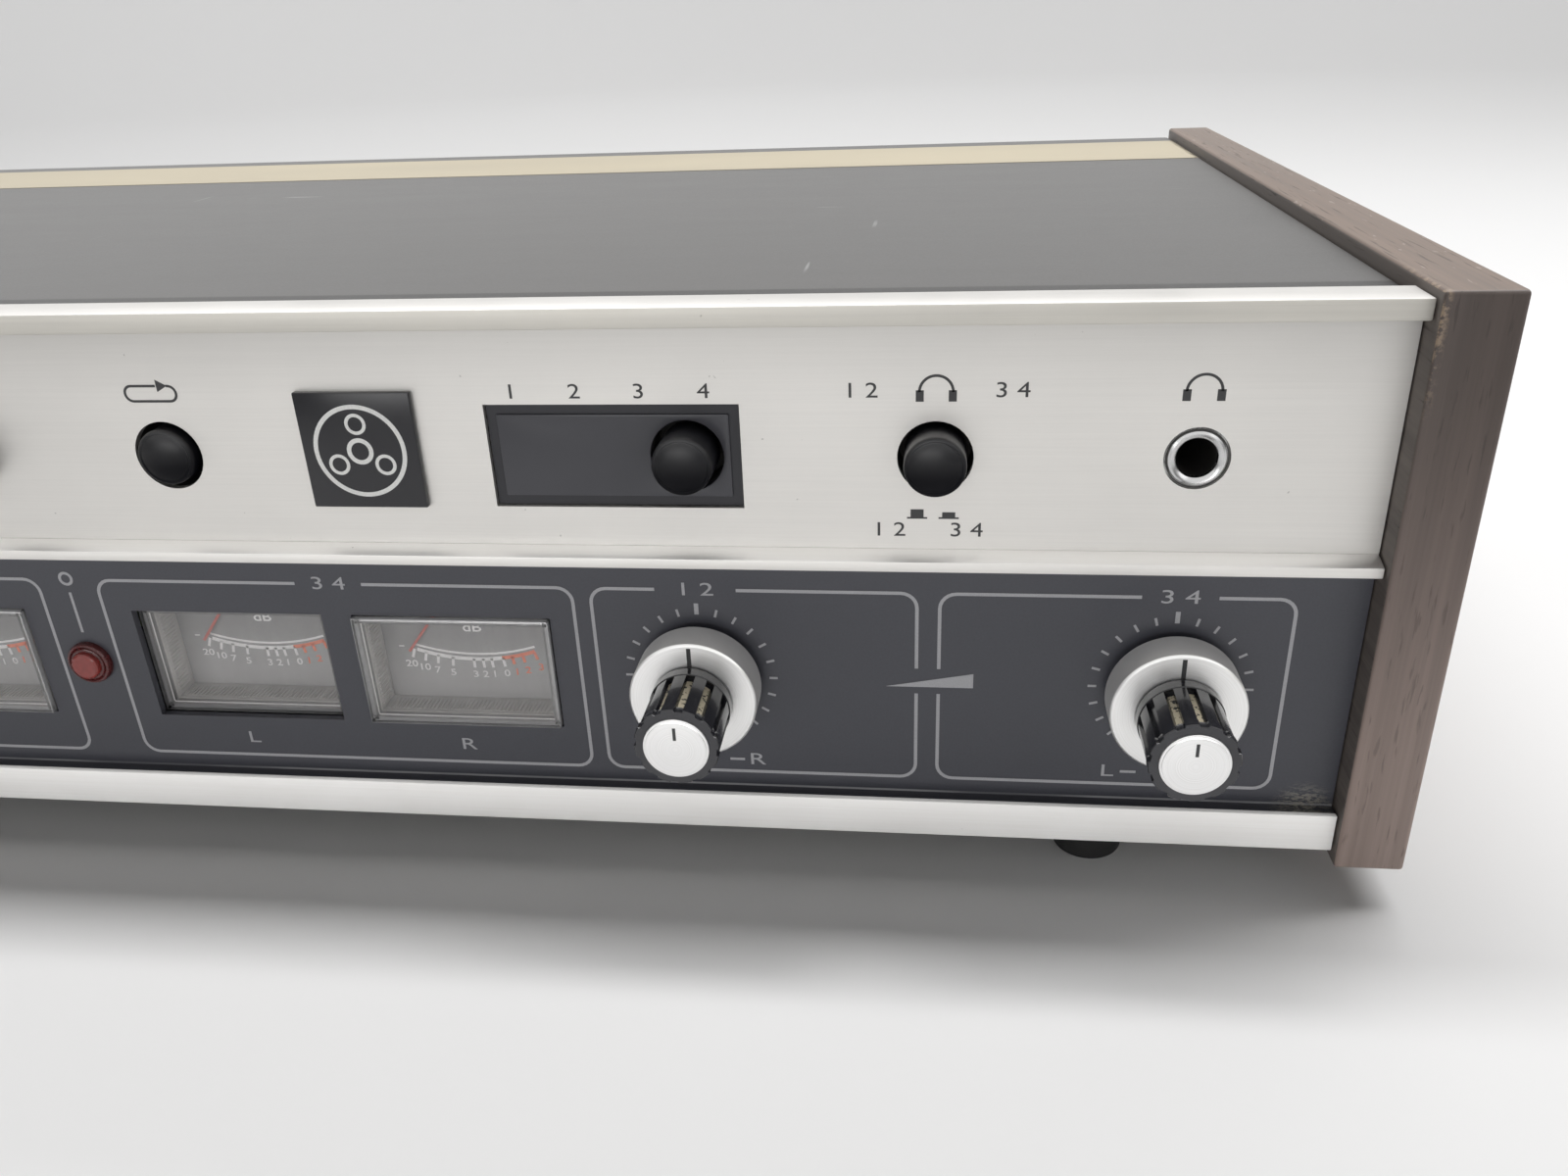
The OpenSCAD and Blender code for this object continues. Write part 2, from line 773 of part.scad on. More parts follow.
module lower_fascia() {
    color("#2c2d30") difference() {
        union() {
            box([-bar_x, panel_y, lip_z - bar_t], [bar_x, back_y, split_z]);
            box([-bar_x, bar_y + bar_t, lip_z - bar_t], [bar_x, panel_y, lip_z]);
        }
        fascia_holes(hole_r, [for (x = [record_x, power_x]) [x, knob_z]]);
        fascia_holes(jack_hole_r, [for (x = mic_x) [x, knob_z]]);
        fascia_holes(bushing_r + free_gap, [for (x = [volume_front_x, volume_rear_x]) [x, knob_z]]);
        fascia_holes(lamp_r - lamp_rim + hole_gap, [[lamp_x, knob_z]]);
        for (m = meters)
            translate([m[0], panel_y, meter_z]) cube([meter_w, 4 * fascia_t, meter_h], center = true);
    }
}

module badge_plate() {
    color("#1b1b1d") translate([badge_x, panel_y - badge_t / 2, top_z - badge_drop])
        cube([badge_w, badge_t, badge_w], center = true);
}

module selector_window() {
    color("#232427") difference() {
        union() {
            translate([window_x, (panel_y + back_y) / 2, row_z])
                cube([window_w - 2 * cover_fit, fascia_t, window_h - 2 * cover_fit], center = true);
            translate([window_x, back_y + window_flange / 2, row_z])
                cube([window_w + 4, window_flange, window_h + 4], center = true);
        }
        rod_y(hole_r, channels_x, row_z, panel_y - 1, back_y + window_flange + 1);
    }
}

module jack(x, z) {
    difference() {
        union() {
            rod_y(jack_collar_r, x, z, panel_y + jack_sink, back_y + 1);
            translate([x, back_y + (jack_depth + jack_wall) / 2, z])
                cube([jack_body_w, jack_depth + jack_wall, jack_body_w], center = true);
        }
        rod_y(jack_bore_r, x, z, panel_y - 1, back_y + jack_depth);
    }
}

module jacks() {
    color("#b9bbbd") {
        jack(jack_x, row_z);
        for (x = mic_x)
            jack(x, knob_z);
    }
}

module lens(x, z, r, proud) {
    turned(x, z, [
        [0, -lens_depth],
        [r - lamp_rim, -lens_depth],
        [r - lamp_rim, 0],
        [r, 0],
        [r, proud / 2],
        [r * 0.7, proud / 2],
        [r * 0.62, proud],
        [0, proud]
    ]);
}

module record_lamp() {
    color("#b02a22") lens(lamp_x, knob_z, lamp_r, lens_proud);
}

module program_lamps() {
    color("#b02a22") for (x = small_lamp_x)
        lens(x, row_z, small_lamp_r, small_lens_proud);
}

// Meters

module meter_cover(x, sink) {
    front = panel_y - cover_proud + sink;
    rear = back_y + sink;
    inner_w = meter_w - 2 * (cover_fit + cover_wall);
    inner_h = meter_h - 2 * (cover_fit + cover_wall);
    difference() {
        union() {
            translate([x, (front + rear) / 2, meter_z])
                cube([meter_w - 2 * cover_fit, rear - front, meter_h - 2 * cover_fit], center = true);
            box([x - case_w / 2, rear, case_low_z], [x + case_w / 2, rear + cover_wall, case_high_z]);
        }
        translate([x, front + cover_front + panel_set + rear - front, meter_z])
            cube([inner_w, 2 * (panel_set + rear - front), inner_h], center = true);
    }
}

module meter_case(x, sink) {
    front = back_y + sink + cover_wall;
    half = case_w / 2;
    difference() {
        box([x - half, front, case_low_z], [x + half, front + case_d, case_high_z]);
        box([x - half + case_wall, front - 1, case_low_z + case_wall],
            [x + half - case_wall, front + case_d - case_wall, case_high_z - case_wall]);
    }
    for (side = [-1, 1])
        translate([x + side * (half + lug_t / 2), (back_y + front + case_d / 2) / 2, meter_z])
            cube([lug_t, front + case_d / 2 - back_y, meter_h / 2], center = true);
}

module meter_dial(x, sink) {
    face = panel_y + dial_depth + sink;
    half = case_w / 2 - case_wall;
    box([x - half, face, case_low_z + case_wall], [x + half, face + dial_t, case_high_z - case_wall]);
    rod_y(pivot_r, x, pivot_z, face - needle_gap - needle_t - needle_gap, face);
}

module meter_covers() {
    color("#cfd6dc") for (m = meters)
        meter_cover(m[0], m[1]);
}

module meter_cases() {
    color("#202124") for (m = meters)
        meter_case(m[0], m[1]);
}

module meter_dials() {
    color("#6f7377") for (m = meters)
        meter_dial(m[0], m[1]);
}

module needle(x, sink) {
    face = panel_y + dial_depth + sink - needle_gap;
    color("#c43a2c") difference() {
        union() {
            rod_y(needle_hub_r, x, pivot_z, face - needle_t, face);
            translate([x, face - needle_t / 2, pivot_z]) rotate([0, needle_rest, 0])
                translate([0, 0, -needle_len / 2]) cube([needle_w, needle_w, needle_len], center = true);
        }
        rod_y(pivot_r + run_gap, x, pivot_z, face - 2 * needle_t, face + needle_t);
    }
}

module needle_front_left() {
    needle(meters[0][0], meters[0][1]);
}

module needle_front_right() {
    needle(meters[1][0], meters[1][1]);
}

module needle_rear_left() {
    needle(meters[2][0], meters[2][1]);
}

module needle_rear_right() {
    needle(meters[3][0], meters[3][1]);
}

// Volume controls

module volume_ring(x) {
    color("#c6c5c2") turned(x, knob_z, [
        [sleeve_r + seat_gap, ring_gap],
        [ring_r - ring_edge / 2, ring_gap],
        [ring_r, ring_gap + ring_edge / 2],
        [ring_r, ring_front - ring_edge],
        [ring_r - ring_edge, ring_front],
        [sleeve_r + seat_gap, ring_front]
    ]);
}

module volume_knob(x) {
    color("#1d1d1f") difference() {
        turned(x, knob_z, [
            [shaft_r + seat_gap, knob_back],
            [knob_skirt_r, knob_back],
            [knob_skirt_r, knob_back + skirt_h - skirt_edge],
            [grip_r, knob_back + skirt_h],
            [grip_r, knob_front - rim_h],
            [knob_r, knob_front - rim_h + rim_edge],
            [knob_r, knob_front - disc_h - rim_edge],
            [knob_r - rim_edge, knob_front - disc_h],
            [knob_disc_r, knob_front - disc_h],
            [knob_disc_r, knob_front],
            [0, knob_front],
            [0, shaft_out],
            [shaft_r + seat_gap, shaft_out]
        ]);
        for (i = [0 : flutes - 1])
            translate([x, panel_y - knob_front + rim_h, knob_z]) rotate([0, i * 360 / flutes, 0])
                translate([0, 0, grip_r + flute_r / 2]) rotate([-90, 0, 0])
                    cylinder(r = flute_r, h = knob_len - rim_h - skirt_h);
    }
}

module sleeve_shaft(x) {
    color("#a8a9ab") difference() {
        rod_y(sleeve_r, x, knob_z, panel_y - sleeve_out, back_y + sleeve_in);
        rod_y(shaft_r + run_gap, x, knob_z, panel_y - sleeve_out - 1, back_y + sleeve_in + 1);
    }
}

module inner_shaft(x) {
    color("#b8b9bb") rod_y(shaft_r, x, knob_z, panel_y - shaft_out, back_y + shaft_in);
}

module potentiometer(x) {
    difference() {
        union() {
            rod_y(bushing_r, x, knob_z, panel_y - ring_gap + 0.6, back_y + 1);
            rod_y(pot_r, x, knob_z, back_y, back_y + pot_d);
        }
        rod_y(sleeve_r + run_gap, x, knob_z, panel_y - ring_gap, back_y + sleeve_in + free_gap);
        rod_y(shaft_r + run_gap, x, knob_z, back_y, back_y + shaft_in + free_gap);
    }
}

module potentiometers() {
    color("#8d8f92") {
        potentiometer(volume_front_x);
        potentiometer(volume_rear_x);
    }
}

module volume_ring_front() {
    volume_ring(volume_front_x);
}

module volume_ring_rear() {
    volume_ring(volume_rear_x);
}

module volume_knob_front() {
    volume_knob(volume_front_x);
}

module volume_knob_rear() {
    volume_knob(volume_rear_x);
}

module sleeve_shaft_front() {
    sleeve_shaft(volume_front_x);
}

module sleeve_shaft_rear() {
    sleeve_shaft(volume_rear_x);
}

module inner_shaft_front() {
    inner_shaft(volume_front_x);
}

module inner_shaft_rear() {
    inner_shaft(volume_rear_x);
}

// Buttons

module push_button(b) {
    dome = 0.6;
    color("#26272a") translate([0, b[3] * button_travel, 0]) {
        turned(b[0], b[1], [
            [0, -cap_tail],
            [button_r, -cap_tail],
            [button_r, button_proud - dome],
            [button_r - dome, button_proud],
            [0, button_proud]
        ]);
        translate([b[0], (panel_y + cap_tail + stem_y) / 2, b[1]])
            cube([stem_w, stem_y - panel_y - cap_tail, stem_w], center = true);
    }
}

module switch_housing(b) {
    hole = stem_w + 2 * stem_gap;
    difference() {
        translate([b[0], (b[2] + housing_y) / 2, b[1]])
            cube([housing_w, housing_y - b[2], housing_w], center = true);
        rod_y(hole_r, b[0], b[1], back_y - 1, well_y);
        translate([b[0], (well_y + stem_well_y - 1) / 2, b[1]])
            cube([hole, stem_well_y - well_y + 1, hole], center = true);
    }
}

module switch_housings() {
    color("#d9d4c4") for (b = buttons)
        switch_housing(b);
}

module button_headphone() {
    push_button(buttons[0]);
}

module button_channels() {
    push_button(buttons[1]);
}

module button_repeat() {
    push_button(buttons[2]);
}

module button_forward() {
    push_button(buttons[3]);
}

module button_program() {
    push_button(buttons[4]);
}

module button_record() {
    push_button(buttons[5]);
}

module button_power() {
    push_button(buttons[6]);
}

// Cartridge bay

module cartridge_door() {
    half = slot_w / 2 - door_gap;
    low_z = slot_low_z + door_gap;
    color("#35363a") difference() {
        union() {
            box([slot_x - half, hinge_y - door_t / 2, low_z], [slot_x + half, hinge_y + door_t / 2, hinge_z]);
            rod_x(barrel_r, hinge_y, hinge_z, slot_x - half, slot_x + half);
        }
        rod_x(pin_r + run_gap, hinge_y, hinge_z, slot_x - half - 1, slot_x + half + 1);
    }
}

module door_pin() {
    color("silver") rod_x(pin_r, hinge_y, hinge_z, slot_x - tray_x, slot_x + tray_x);
}

module cartridge_tray() {
    high_z = hinge_z + barrel_r + 1;
    floor_y = hinge_y + barrel_r + 1;
    color("#8a8b8e") difference() {
        union() {
            box([slot_x - tray_x, floor_y, deck_z], [slot_x + tray_x, tray_y, slot_low_z]);
            for (side = [-1, 1])
                translate([slot_x + side * (slot_w + tray_wall) / 2, (back_y + tray_y) / 2, (deck_z + high_z) / 2])
                    cube([tray_wall, tray_y - back_y, high_z - deck_z], center = true);
        }
        rod_x(pin_r + seat_gap, hinge_y, hinge_z, slot_x - tray_x - 1, slot_x + tray_x + 1);
    }
}

module deck_plate() {
    low_z = deck_z - deck_t;
    leg_y = back_y + leg_back;
    color("#97989a") {
        difference() {
            box([slot_x - deck_x, back_y + 3, low_z], [slot_x + deck_x, deck_y, deck_z]);
            rod_z(bearing_r + seat_gap, cap_x, cap_y, low_z - 1, deck_z + 1);
        }
        for (side = [-1, 1])
            translate([slot_x + side * (deck_x - deck_t / 2), (leg_y + deck_y) / 2, (floor_z + low_z) / 2])
                cube([deck_t, deck_y - leg_y, low_z - floor_z], center = true);
        for (side = [-1, 1])
            rod_z(post_r, reader_x + side * post_step / 2, post_y, deck_z, post_top_z);
        rod_z(spindle_r, reader_x, cam_y, deck_z, cam_z + head_lift);
    }
}

// Drive

module flywheel() {
    color("#b5b2aa") difference() {
        union() {
            rod_z(flywheel_r, cap_x, cap_y, wheel_z, wheel_z + flywheel_t);
            rod_z(4 * capstan_r, cap_x, cap_y, wheel_z - 4, wheel_z);
        }
        rod_z(capstan_r + seat_gap, cap_x, cap_y, wheel_z - 5, wheel_z + flywheel_t + 1);
    }
}

module capstan() {
    color("#d8d8da") rod_z(capstan_r, cap_x, cap_y, floor_z + 2, slot_low_z + capstan_h);
}

module capstan_bearings() {
    color("#b08d57") difference() {
        union() {
            rod_z(bearing_r, cap_x, cap_y, bearing_z, deck_z);
            rod_z(bearing_r, cap_x, cap_y, floor_z, floor_z + thrust_h);
        }
        rod_z(capstan_r + run_gap, cap_x, cap_y, floor_z + 2, deck_z + 1);
    }
}

module motor() {
    color("#6d6f73") difference() {
        union() {
            rod_z(motor_r, spin_x, spin_y, floor_z, floor_z + motor_h);
            rod_z(2 * motor_collar, spin_x, spin_y, floor_z + motor_h, floor_z + motor_h + motor_collar);
        }
        rod_z(motor_shaft_r + run_gap, spin_x, spin_y, floor_z + 4, floor_z + motor_h + 2 * motor_collar);
    }
}

module motor_pulley() {
    color("#c9a25f") {
        rod_z(pulley_r, spin_x, spin_y, wheel_z, wheel_z + flywheel_t);
        rod_z(motor_shaft_r, spin_x, spin_y, floor_z + 4, wheel_z);
    }
}

module belt_loop(gap) {
    hull() {
        translate([cap_x, cap_y]) circle(r = flywheel_r + gap, $fn = 96);
        translate([spin_x, spin_y]) circle(r = pulley_r + gap, $fn = 48);
    }
}

module drive_belt() {
    color("#232323") translate([0, 0, belt_z]) linear_extrude(belt_h) difference() {
        belt_loop(free_gap + belt_t);
        belt_loop(free_gap);
    }
}

// Head

module head_carriage() {
    color("#c2b280") difference() {
        union() {
            box([reader_x - carriage_w / 2, carriage_y, carriage_z],
                [reader_x + carriage_w / 2, carriage_y + carriage_d, carriage_z + carriage_h]);
            box([reader_x - follower_w / 2, carriage_y + carriage_d, carriage_z],
                [reader_x + follower_w / 2, carriage_y + carriage_d + follower_l, carriage_z + 4]);
        }
        for (side = [-1, 1])
            rod_z(post_r + run_gap, reader_x + side * post_step / 2, post_y, carriage_z - 1, post_top_z + 1);
    }
}

module tape_head() {
    nose = 2;
    color("#c8cacc") {
        box([reader_x - head_w / 2, reader_y + nose, carriage_z],
            [reader_x + head_w / 2, carriage_y, carriage_z + head_h]);
        rod_z(nose, reader_x, reader_y + nose, carriage_z, carriage_z + head_h);
    }
}

// The cam has one level for each program, and a ratchet wheel below it is pushed round by the pawl
module program_cam() {
    tooth = 360 / teeth;
    color("#e0dcc8") translate([reader_x, cam_y, 0]) difference() {
        union() {
            translate([0, 0, ratchet_z + ratchet_t]) cylinder(r = cam_r, h = cam_z - ratchet_z - ratchet_t);
            for (i = [1 : programs - 1])
                translate([0, 0, cam_z - cam_rim]) rotate([0, 0, cam_end + i])
                    rotate_extrude(angle = cam_turn - (i - 1) * program_turn - 2 * i)
                        translate([spindle_r + (i + 1) * cam_rim, 0])
                            square([cam_r - spindle_r - (2 * i + 2) * cam_rim, cam_rim + i * program_lift]);
            translate([0, 0, ratchet_z]) linear_extrude(ratchet_t) polygon([
                for (i = [0 : teeth - 1], k = [0, 1])
                    (ratchet_r - tooth_h * k) * [cos((i + 0.9 * k) * tooth), sin((i + 0.9 * k) * tooth)]
            ]);
        }
        translate([0, 0, deck_z]) cylinder(r = spindle_r + run_gap, h = 4 * cam_h);
    }
}

module solenoid() {
    color("#54565a") difference() {
        translate([plunger_x, solenoid_y + solenoid_l / 2, plunger_z])
            cube([solenoid_w, solenoid_l, solenoid_w], center = true);
        rod_y(plunger_r + run_gap, plunger_x, plunger_z, solenoid_y - 1, solenoid_y + solenoid_l - 2);
    }
}

module plunger() {
    tip_y = cam_y - pawl_l / 2;
    color("#bfc1c4") {
        rod_y(plunger_r, plunger_x, plunger_z, tip_y, solenoid_y + solenoid_l - 3 - plunger_travel);
        box([reader_x + ratchet_r + pawl_gap, tip_y, ratchet_z - 1],
            [plunger_x + 1, tip_y + pawl_l, plunger_z]);
    }
}

// Electrics

module transformer() {
    color("#4a4440") {
        box([core_x - core_w / 2, core_y - core_d / 2, floor_z],
            [core_x + core_w / 2, core_y + core_d / 2, floor_z + core_h]);
        box([core_x - core_w / 3, core_y - core_d / 2 - winding_t, floor_z + winding_t],
            [core_x + core_w / 3, core_y + core_d / 2 + winding_t, floor_z + core_h - winding_t]);
        for (side = [-1, 1])
            translate([core_x + side * core_w / 2, core_y, floor_z + core_foot / 2])
                cube([2 * winding_t, core_d, core_foot], center = true);
    }
}

module amplifier_board() {
    rear = board_y + board_d;
    post_out = 2 * board_post;
    color("#6f7a3a") {
        box([board_x - board_half, board_y, board_z], [board_x + board_half, rear, board_z + board_t]);
        for (side = [-1, 1], y = [board_y + post_out, rear - post_out])
            rod_z(board_post, board_x + side * (board_half - post_out), y, floor_z, board_z);
        for (i = [0 : can_columns - 1], j = [0, 1])
            rod_z(can_r + j * can_extra_r, board_x + (i - (can_columns - 1) / 2) * can_step,
                board_y + can_y + j * can_row, board_z + board_t, board_z + can_h + j * can_extra_h);
        box([board_x - sink_half, rear - sink_edge - sink_t, board_z + board_t],
            [board_x + sink_half, rear - sink_edge, board_z + sink_h]);
    }
}

module line_sockets() {
    flange = 1;
    rear = rear_y + sheet_t;
    color("#c0c2c4") for (x = line_x, z = line_z)
        difference() {
            union() {
                rod_y(line_body_r, x, z, rear_y - 6, rear);
                rod_y(line_body_r + 1.5, x, z, rear, rear + flange);
                rod_y(line_r, x, z, rear + flange, rear + flange + line_len);
            }
            rod_y(line_pin_r, x, z, rear_y - 2, rear + flange + line_len + 1);
        }
}

module power_inlet() {
    rear = rear_y + sheet_t;
    wall = 2;
    body_d = 16;
    blade = 2;
    color("#222325") {
        difference() {
            union() {
                translate([inlet_x, rear - body_d / 2, inlet_z])
                    cube([inlet_w, body_d, inlet_h], center = true);
                translate([inlet_x, rear + wall / 2, inlet_z])
                    cube([inlet_w + 2 * inlet_lip, wall, inlet_h + 2 * inlet_lip], center = true);
            }
            translate([inlet_x, rear, inlet_z])
                cube([inlet_w - 2 * wall, 2 * (body_d - wall), inlet_h - 2 * wall], center = true);
        }
        for (side = [-1, 1])
            translate([inlet_x + side * inlet_w / 4, rear - body_d / 2 - wall, inlet_z])
                cube([blade, body_d - 2 * wall, 2 * blade], center = true);
    }
}

end_panel_left();
end_panel_right();
top_cover();
base_plate();
rear_panel();
upper_fascia();
lower_fascia();
top_bar();
middle_bar();
bottom_bar();
feet();
screws();
badge_plate();
selector_window();
jacks();
record_lamp();
program_lamps();
meter_covers();
meter_cases();
meter_dials();
needle_front_left();
needle_front_right();
needle_rear_left();
needle_rear_right();
volume_ring_front();
volume_ring_rear();
volume_knob_front();
volume_knob_rear();
sleeve_shaft_front();
sleeve_shaft_rear();
inner_shaft_front();
inner_shaft_rear();
potentiometers();
button_headphone();
button_channels();
button_repeat();
button_forward();
button_program();
button_record();
button_power();
switch_housings();
cartridge_door();
door_pin();
cartridge_tray();
deck_plate();
flywheel();
capstan();
capstan_bearings();
motor();
motor_pulley();
drive_belt();
head_carriage();
tape_head();
program_cam();
solenoid();
plunger();
transformer();
amplifier_board();
line_sockets();
power_inlet();
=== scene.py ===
"""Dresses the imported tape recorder: camera, light, finishes and the pieces that carry its looks."""

import logging
import math
from collections.abc import Callable, Sequence
from dataclasses import dataclass
from enum import Enum

import bmesh
import bpy
from mathutils import Matrix, Vector


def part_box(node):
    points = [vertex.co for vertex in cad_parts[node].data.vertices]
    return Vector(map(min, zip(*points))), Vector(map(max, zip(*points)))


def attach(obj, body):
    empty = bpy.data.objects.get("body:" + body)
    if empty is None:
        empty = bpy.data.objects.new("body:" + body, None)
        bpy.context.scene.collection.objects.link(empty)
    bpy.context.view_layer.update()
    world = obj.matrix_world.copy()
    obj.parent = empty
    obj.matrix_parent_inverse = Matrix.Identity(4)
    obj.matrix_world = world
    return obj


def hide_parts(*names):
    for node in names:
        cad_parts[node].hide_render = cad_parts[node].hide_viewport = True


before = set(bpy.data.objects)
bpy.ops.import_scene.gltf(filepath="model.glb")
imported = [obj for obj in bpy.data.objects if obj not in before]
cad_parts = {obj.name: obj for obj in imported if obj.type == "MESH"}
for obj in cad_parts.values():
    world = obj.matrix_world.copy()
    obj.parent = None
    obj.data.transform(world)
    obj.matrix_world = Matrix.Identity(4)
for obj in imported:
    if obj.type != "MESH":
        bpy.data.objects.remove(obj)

LOG = logging.getLogger("tape_recorder")
MM = 0.001
CHASSIS = "chassis"
PRINT_T = 0.04
CAPITAL = 0.69
MERGE = 1e-4
SHARP = math.radians(25.0)
CORNER_STEPS = 6
ARC_STEP = 3.0
CREASE = math.radians(32.0)

Triple = tuple[float, float, float]
Pair = tuple[float, float]
Pairs = tuple[Pair, Pair]
Words = tuple[tuple[float, tuple[tuple[str, float], ...]], ...]
Paint = int | Callable[[Vector], int]
Shape = bmesh.types.BMesh

EVEN = (1.0, 1.0, 1.0)
ORIGIN = (0.0, 0.0, 0.0)
ALONG_Y = (0.0, 1.0, 0.0)
ALONG_Z = (0.0, 0.0, 1.0)


def rgba(colour: Triple, gain: float = 1.0) -> tuple[float, float, float, float]:
    """Returns a linear colour times gain with full alpha, as colour sockets take it."""
    return (*(min(1.0, c * gain) for c in colour), 1.0)


def span(node: str) -> tuple[Vector, Vector]:
    """Returns the lowest and highest corners of a CAD node in millimetres."""
    low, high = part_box(node)
    return low / MM, high / MM


def halfway(low: Vector, high: Vector) -> Pair:
    """Returns the X and Z halfway between two corners."""
    return ((low.x + high.x) / 2, (low.z + high.z) / 2)


def polar(centre: Pair, reach: float, turn: float) -> Pair:
    """Returns the X and Z at that reach from a centre, turn degrees clockwise from straight up."""
    way = math.radians(turn)
    return (centre[0] + reach * math.sin(way), centre[1] + reach * math.cos(way))


FACE_Y = span("upper_fascia")[0].y
BAR_X = span("top_bar")[1].x


class Grain(Enum):
    """The direction that brushing or wood grain runs in, as pattern scales along X, Y and Z."""

    ACROSS = (0.01, 1.0, 1.0)
    DEEP = (1.0, 0.01, 1.0)
    UPRIGHT = (1.0, 1.0, 0.01)

    def shorter(self, times: float) -> Triple:
        """Returns the scales of a pattern that runs that many times less far."""
        return tuple(min(1.0, scale * times) for scale in self.value)


class Side(Enum):
    """A side of the cabinet and the sign of its X."""

    LEFT = -1
    RIGHT = 1


class Tone:
    """One socket of a node graph, with arithmetic that adds Math nodes."""

    def __init__(self, graph: "Graph", socket: bpy.types.NodeSocket) -> None:
        """Keeps the graph and the socket that the value comes from."""
        self.graph = graph
        self.socket = socket

    def _math(self, operation: str, first: "Tone | float", second: "Tone | float") -> "Tone":
        """Returns the result of one Math node."""
        return self.graph.node("Math", {0: first, 1: second}, operation=operation)

    def __add__(self, other: "Tone | float") -> "Tone":
        """Returns self + other."""
        return self._math("ADD", self, other)

    def __rsub__(self, other: float) -> "Tone":
        """Returns other - self."""
        return self._math("SUBTRACT", other, self)

    def __sub__(self, other: "Tone | float") -> "Tone":
        """Returns self - other."""
        return self._math("SUBTRACT", self, other)

    def __mul__(self, other: "Tone | float") -> "Tone":
        """Returns self * other."""
        return self._math("MULTIPLY", self, other)

    def __pow__(self, other: float) -> "Tone":
        """Returns self to the power of other."""
        return self._math("POWER", self, other)

    def __or__(self, other: "Tone") -> "Tone":
        """Returns the larger of self and other."""
        return self._math("MAXIMUM", self, other)

    def above(self, start: float, end: float) -> "Tone":
        """Returns 0 below start and 1 beyond end, with a smooth step between them."""
        sockets = {"Value": self, "From Min": start, "From Max": end}
        return self.graph.node("MapRange", sockets, interpolation_type="SMOOTHSTEP")


